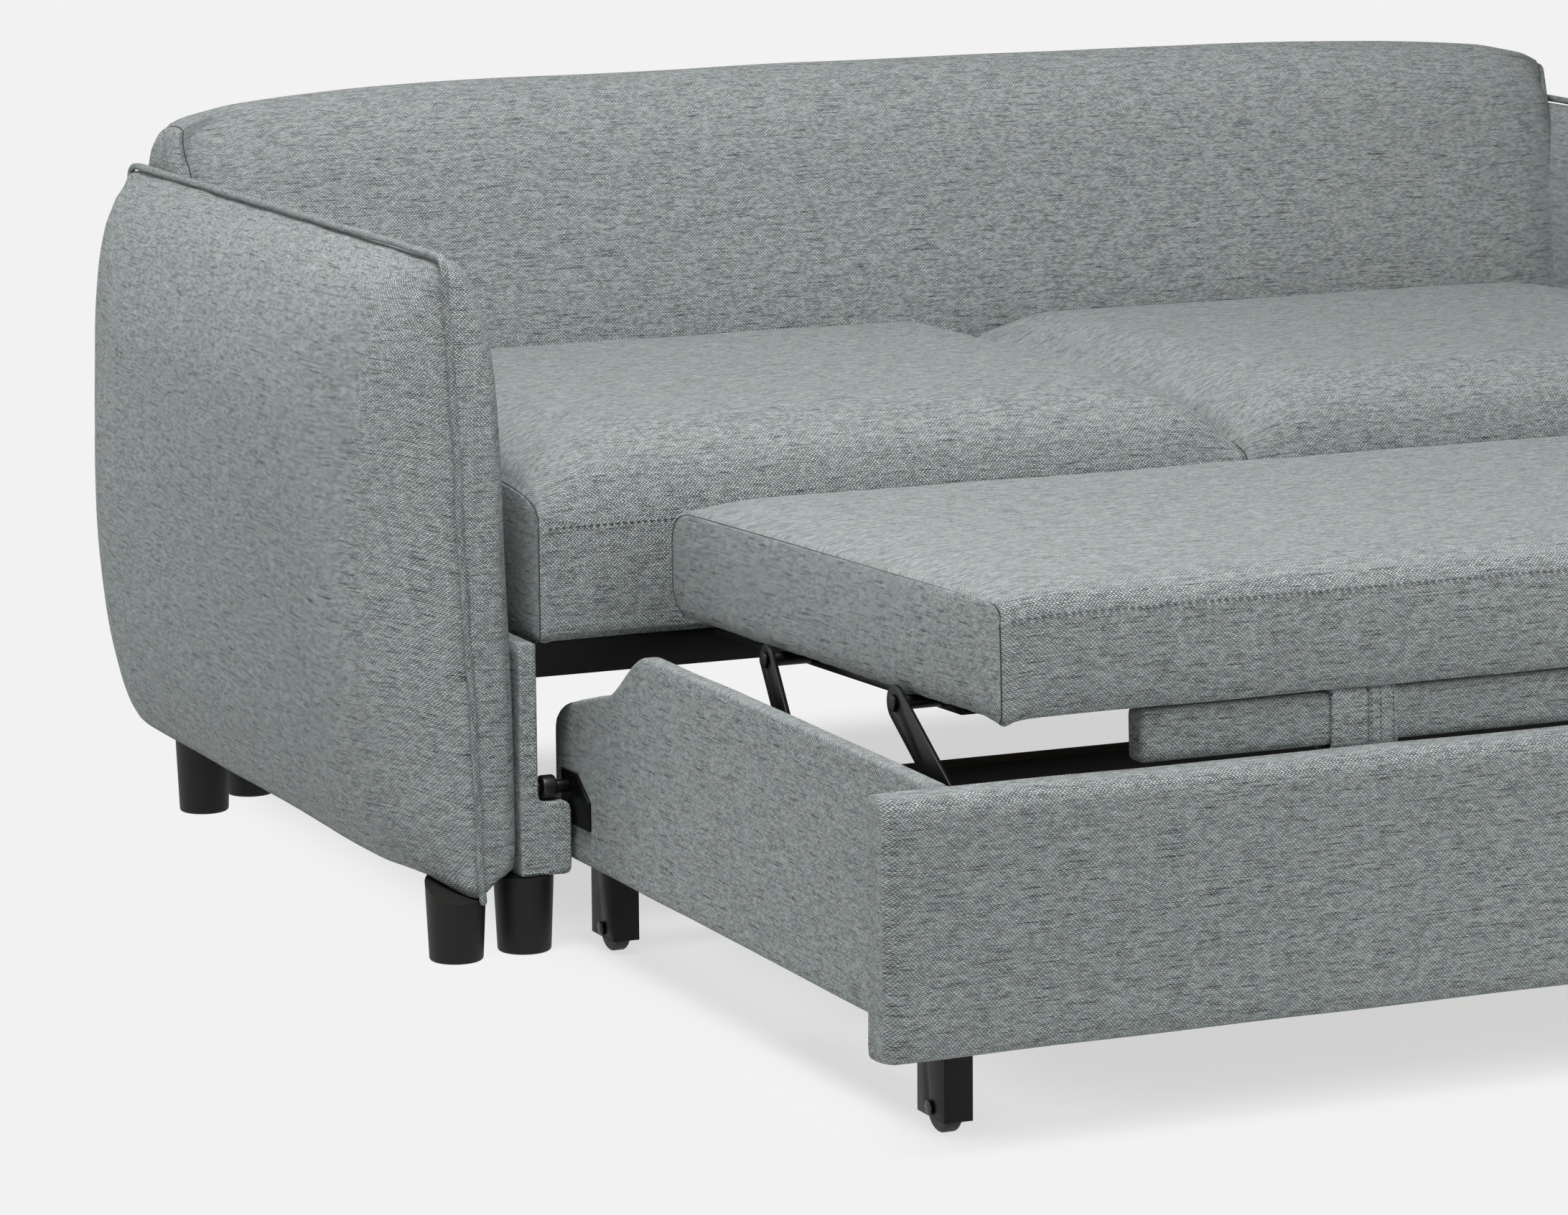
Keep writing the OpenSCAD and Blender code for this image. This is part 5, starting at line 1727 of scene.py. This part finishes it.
@dataclass
class Studio:
    """The camera of the photograph, one broad overhead light and two fills, and a pale floor."""

    place: tuple[float, float, float] = (-2.6155, -4.9421, 1.2509)
    yaw: float = 23.805
    pitch: float = 10.139
    roll: float = -0.464
    lens_pixels: float = 8460.2
    frame: tuple[int, int] = (2184, 1693)
    centre: tuple[float, float] = (14.2, -3.5)  # middle of the view from the middle of the picture, pixels
    sensor: float = 36.0
    world: float = 0.28
    lamps: tuple = (
        ("overhead", 86.0, 1.3, (-1.05, -0.95, 2.9), (0.0, 0.0, 0.35)),
        ("side_fill", 8.6, 0.9, (-2.1, 1.2, 0.85), (-0.85, 0.3, 0.35)),
        ("front_fill", 12.6, 1.0, (1.1, -2.45, 0.5), (0.1, -0.6, 0.3)),
    )  # name, watts, width, place and aim
    backdrop: str = "#f2f2f2"
    floor_tone: float = 0.6
    seen_tone: float = 0.8
    shadow_depth: float = 0.3
    shadow_half: tuple[float, float] = (0.6, 0.7)  # half sizes of the floor that shows the full shadow
    shadow_fade: float = 0.18  # how far beyond them it fades out
    floor_half: float = 30.0

    def build(self) -> None:
        """Set the camera, the lights and the floor."""
        self.camera()
        self.lights()
        self.floor()
        bpy.context.scene.view_settings.view_transform = "Standard"

    def camera(self) -> None:
        """Place the camera as the photograph was taken."""
        yaw, pitch, roll = (math.radians(a) for a in (self.yaw, self.pitch, self.roll))
        ahead = Vector((math.sin(yaw) * math.cos(pitch), math.cos(yaw) * math.cos(pitch), -math.sin(pitch)))
        right = Vector((math.cos(yaw), -math.sin(yaw), 0))
        up = Vector((math.sin(yaw) * math.sin(pitch), math.cos(yaw) * math.sin(pitch), math.cos(pitch)))
        side = right * math.cos(roll) + up * math.sin(roll)
        top = up * math.cos(roll) - right * math.sin(roll)
        data = bpy.data.cameras.new("camera")
        data.sensor_width = self.sensor
        data.lens = self.lens_pixels * self.sensor / self.frame[0]
        data.shift_x = -self.centre[0] / self.frame[0]
        data.shift_y = self.centre[1] / self.frame[0]
        data.clip_end = 100.0
        camera = bpy.data.objects.new("camera", data)
        bpy.context.scene.collection.objects.link(camera)
        turn = Matrix((side, top, -ahead)).transposed().to_4x4()
        camera.matrix_world = Matrix.Translation(self.place) @ turn
        bpy.context.scene.camera = camera

    def seen_share(self, tree: bpy.types.NodeTree) -> bpy.types.Node:
        """Add nodes that give 1 where the eye sees a surface, also in a gloss or through glass."""
        rays = add_node(tree, "LightPath").outputs
        seen = add_node(tree, "Math.MAXIMUM", (rays["Is Camera Ray"], rays["Is Glossy Ray"]))
        return add_node(tree, "Math.MAXIMUM", (seen, rays["Is Transmission Ray"]))

    def lights(self) -> None:
        """Light the object softly from above, with an even world round it."""
        world = bpy.data.worlds.new("studio")
        world.use_nodes = True
        bpy.context.scene.world = world
        tree = world.node_tree
        even = add_node(tree, "Background", {"Color": (1, 1, 1, 1), "Strength": self.world})
        pale = add_node(tree, "Background", {"Color": linear(self.backdrop), "Strength": 1.0})
        mix = add_node(tree, "MixShader", (self.seen_share(tree), even, pale))
        feed(tree, tree.nodes["World Output"], {"Surface": mix})
        for lamp in self.lamps:
            self.panel(*lamp)

    def panel(self, name: str, power: float, size: float, place: Sequence[float], aim: Sequence[float]) -> None:
        """Hang one soft square light.

        Args:
            name: Name of the light.
            power: Its power in watts.
            size: Side of the square.
            place: Where it hangs.
            aim: The point that it faces.
        """
        lamp = bpy.data.lights.new(name, "AREA")
        lamp.energy, lamp.size = power, size
        light = bpy.data.objects.new(name, lamp)
        light.visible_camera = False
        bpy.context.scene.collection.objects.link(light)
        turn = (Vector(place) - Vector(aim)).to_track_quat("Z", "Y").to_matrix().to_4x4()
        light.matrix_world = Matrix.Translation(place) @ turn

    def floor(self) -> None:
        """Lay the pale floor, which is not part of the object and is clear from below."""
        made, tree, shader = new_material("pale_floor")
        seen = self.seen_share(tree)
        tone = add_node(tree, "Math.MULTIPLY_ADD", (seen, self.seen_tone - self.floor_tone, self.floor_tone))
        grey = add_node(tree, "CombineColor", (tone, tone, tone))
        feed(tree, shader, {"Base Color": grey, "Roughness": 1.0, "Specular IOR Level": 0.0})
        pale = add_node(tree, "Emission", {"Color": linear(self.backdrop), "Strength": 1.0})
        place = add_node(tree, "SeparateXYZ", (add_node(tree, "TexCoord").outputs["Object"],))
        beside = []
        for axis, half in zip(place.outputs, self.shadow_half):
            past = add_node(tree, "Math.SUBTRACT", (add_node(tree, "Math.ABSOLUTE", (axis,)), half))
            beside.append(add_node(tree, "Math.MAXIMUM", (past, 0.0)))
        far = add_node(tree, "VectorMath.LENGTH", (add_node(tree, "CombineXYZ", (*beside, 0.0)),))
        depth = {"Value": far.outputs["Value"], "From Max": self.shadow_fade, "To Min": 1 - self.shadow_depth}
        fade = add_node(tree, "MapRange", depth, interpolation_type="SMOOTHSTEP")
        share = add_node(tree, "Math.MULTIPLY", (seen, fade))
        above = add_node(tree, "MixShader", (share, shader, pale))
        below = add_node(tree, "NewGeometry").outputs["Backfacing"]
        surface = add_node(tree, "MixShader", (below, above, add_node(tree, "BsdfTransparent")))
        feed(tree, tree.nodes["Material Output"], {"Surface": surface})
        half = self.floor_half
        mesh = bpy.data.meshes.new("floor")
        corners = [(-half, -half, 0), (half, -half, 0), (half, half, 0), (-half, half, 0)]
        mesh.from_pydata(corners, [], [(0, 1, 2, 3)])
        floor = object_from("floor", mesh)
        floor.data.materials.append(made)


def main() -> None:
    """Load the frame and build the sofa bed round it."""
    logging.basicConfig(level=logging.INFO, format="%(name)s %(message)s")
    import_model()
    Studio().build()
    wardrobe = Wardrobe()
    Sofa(wardrobe).build()
    Trundle(wardrobe).build()
    MattressLift(wardrobe).build()


if __name__ == "__main__":
    main()
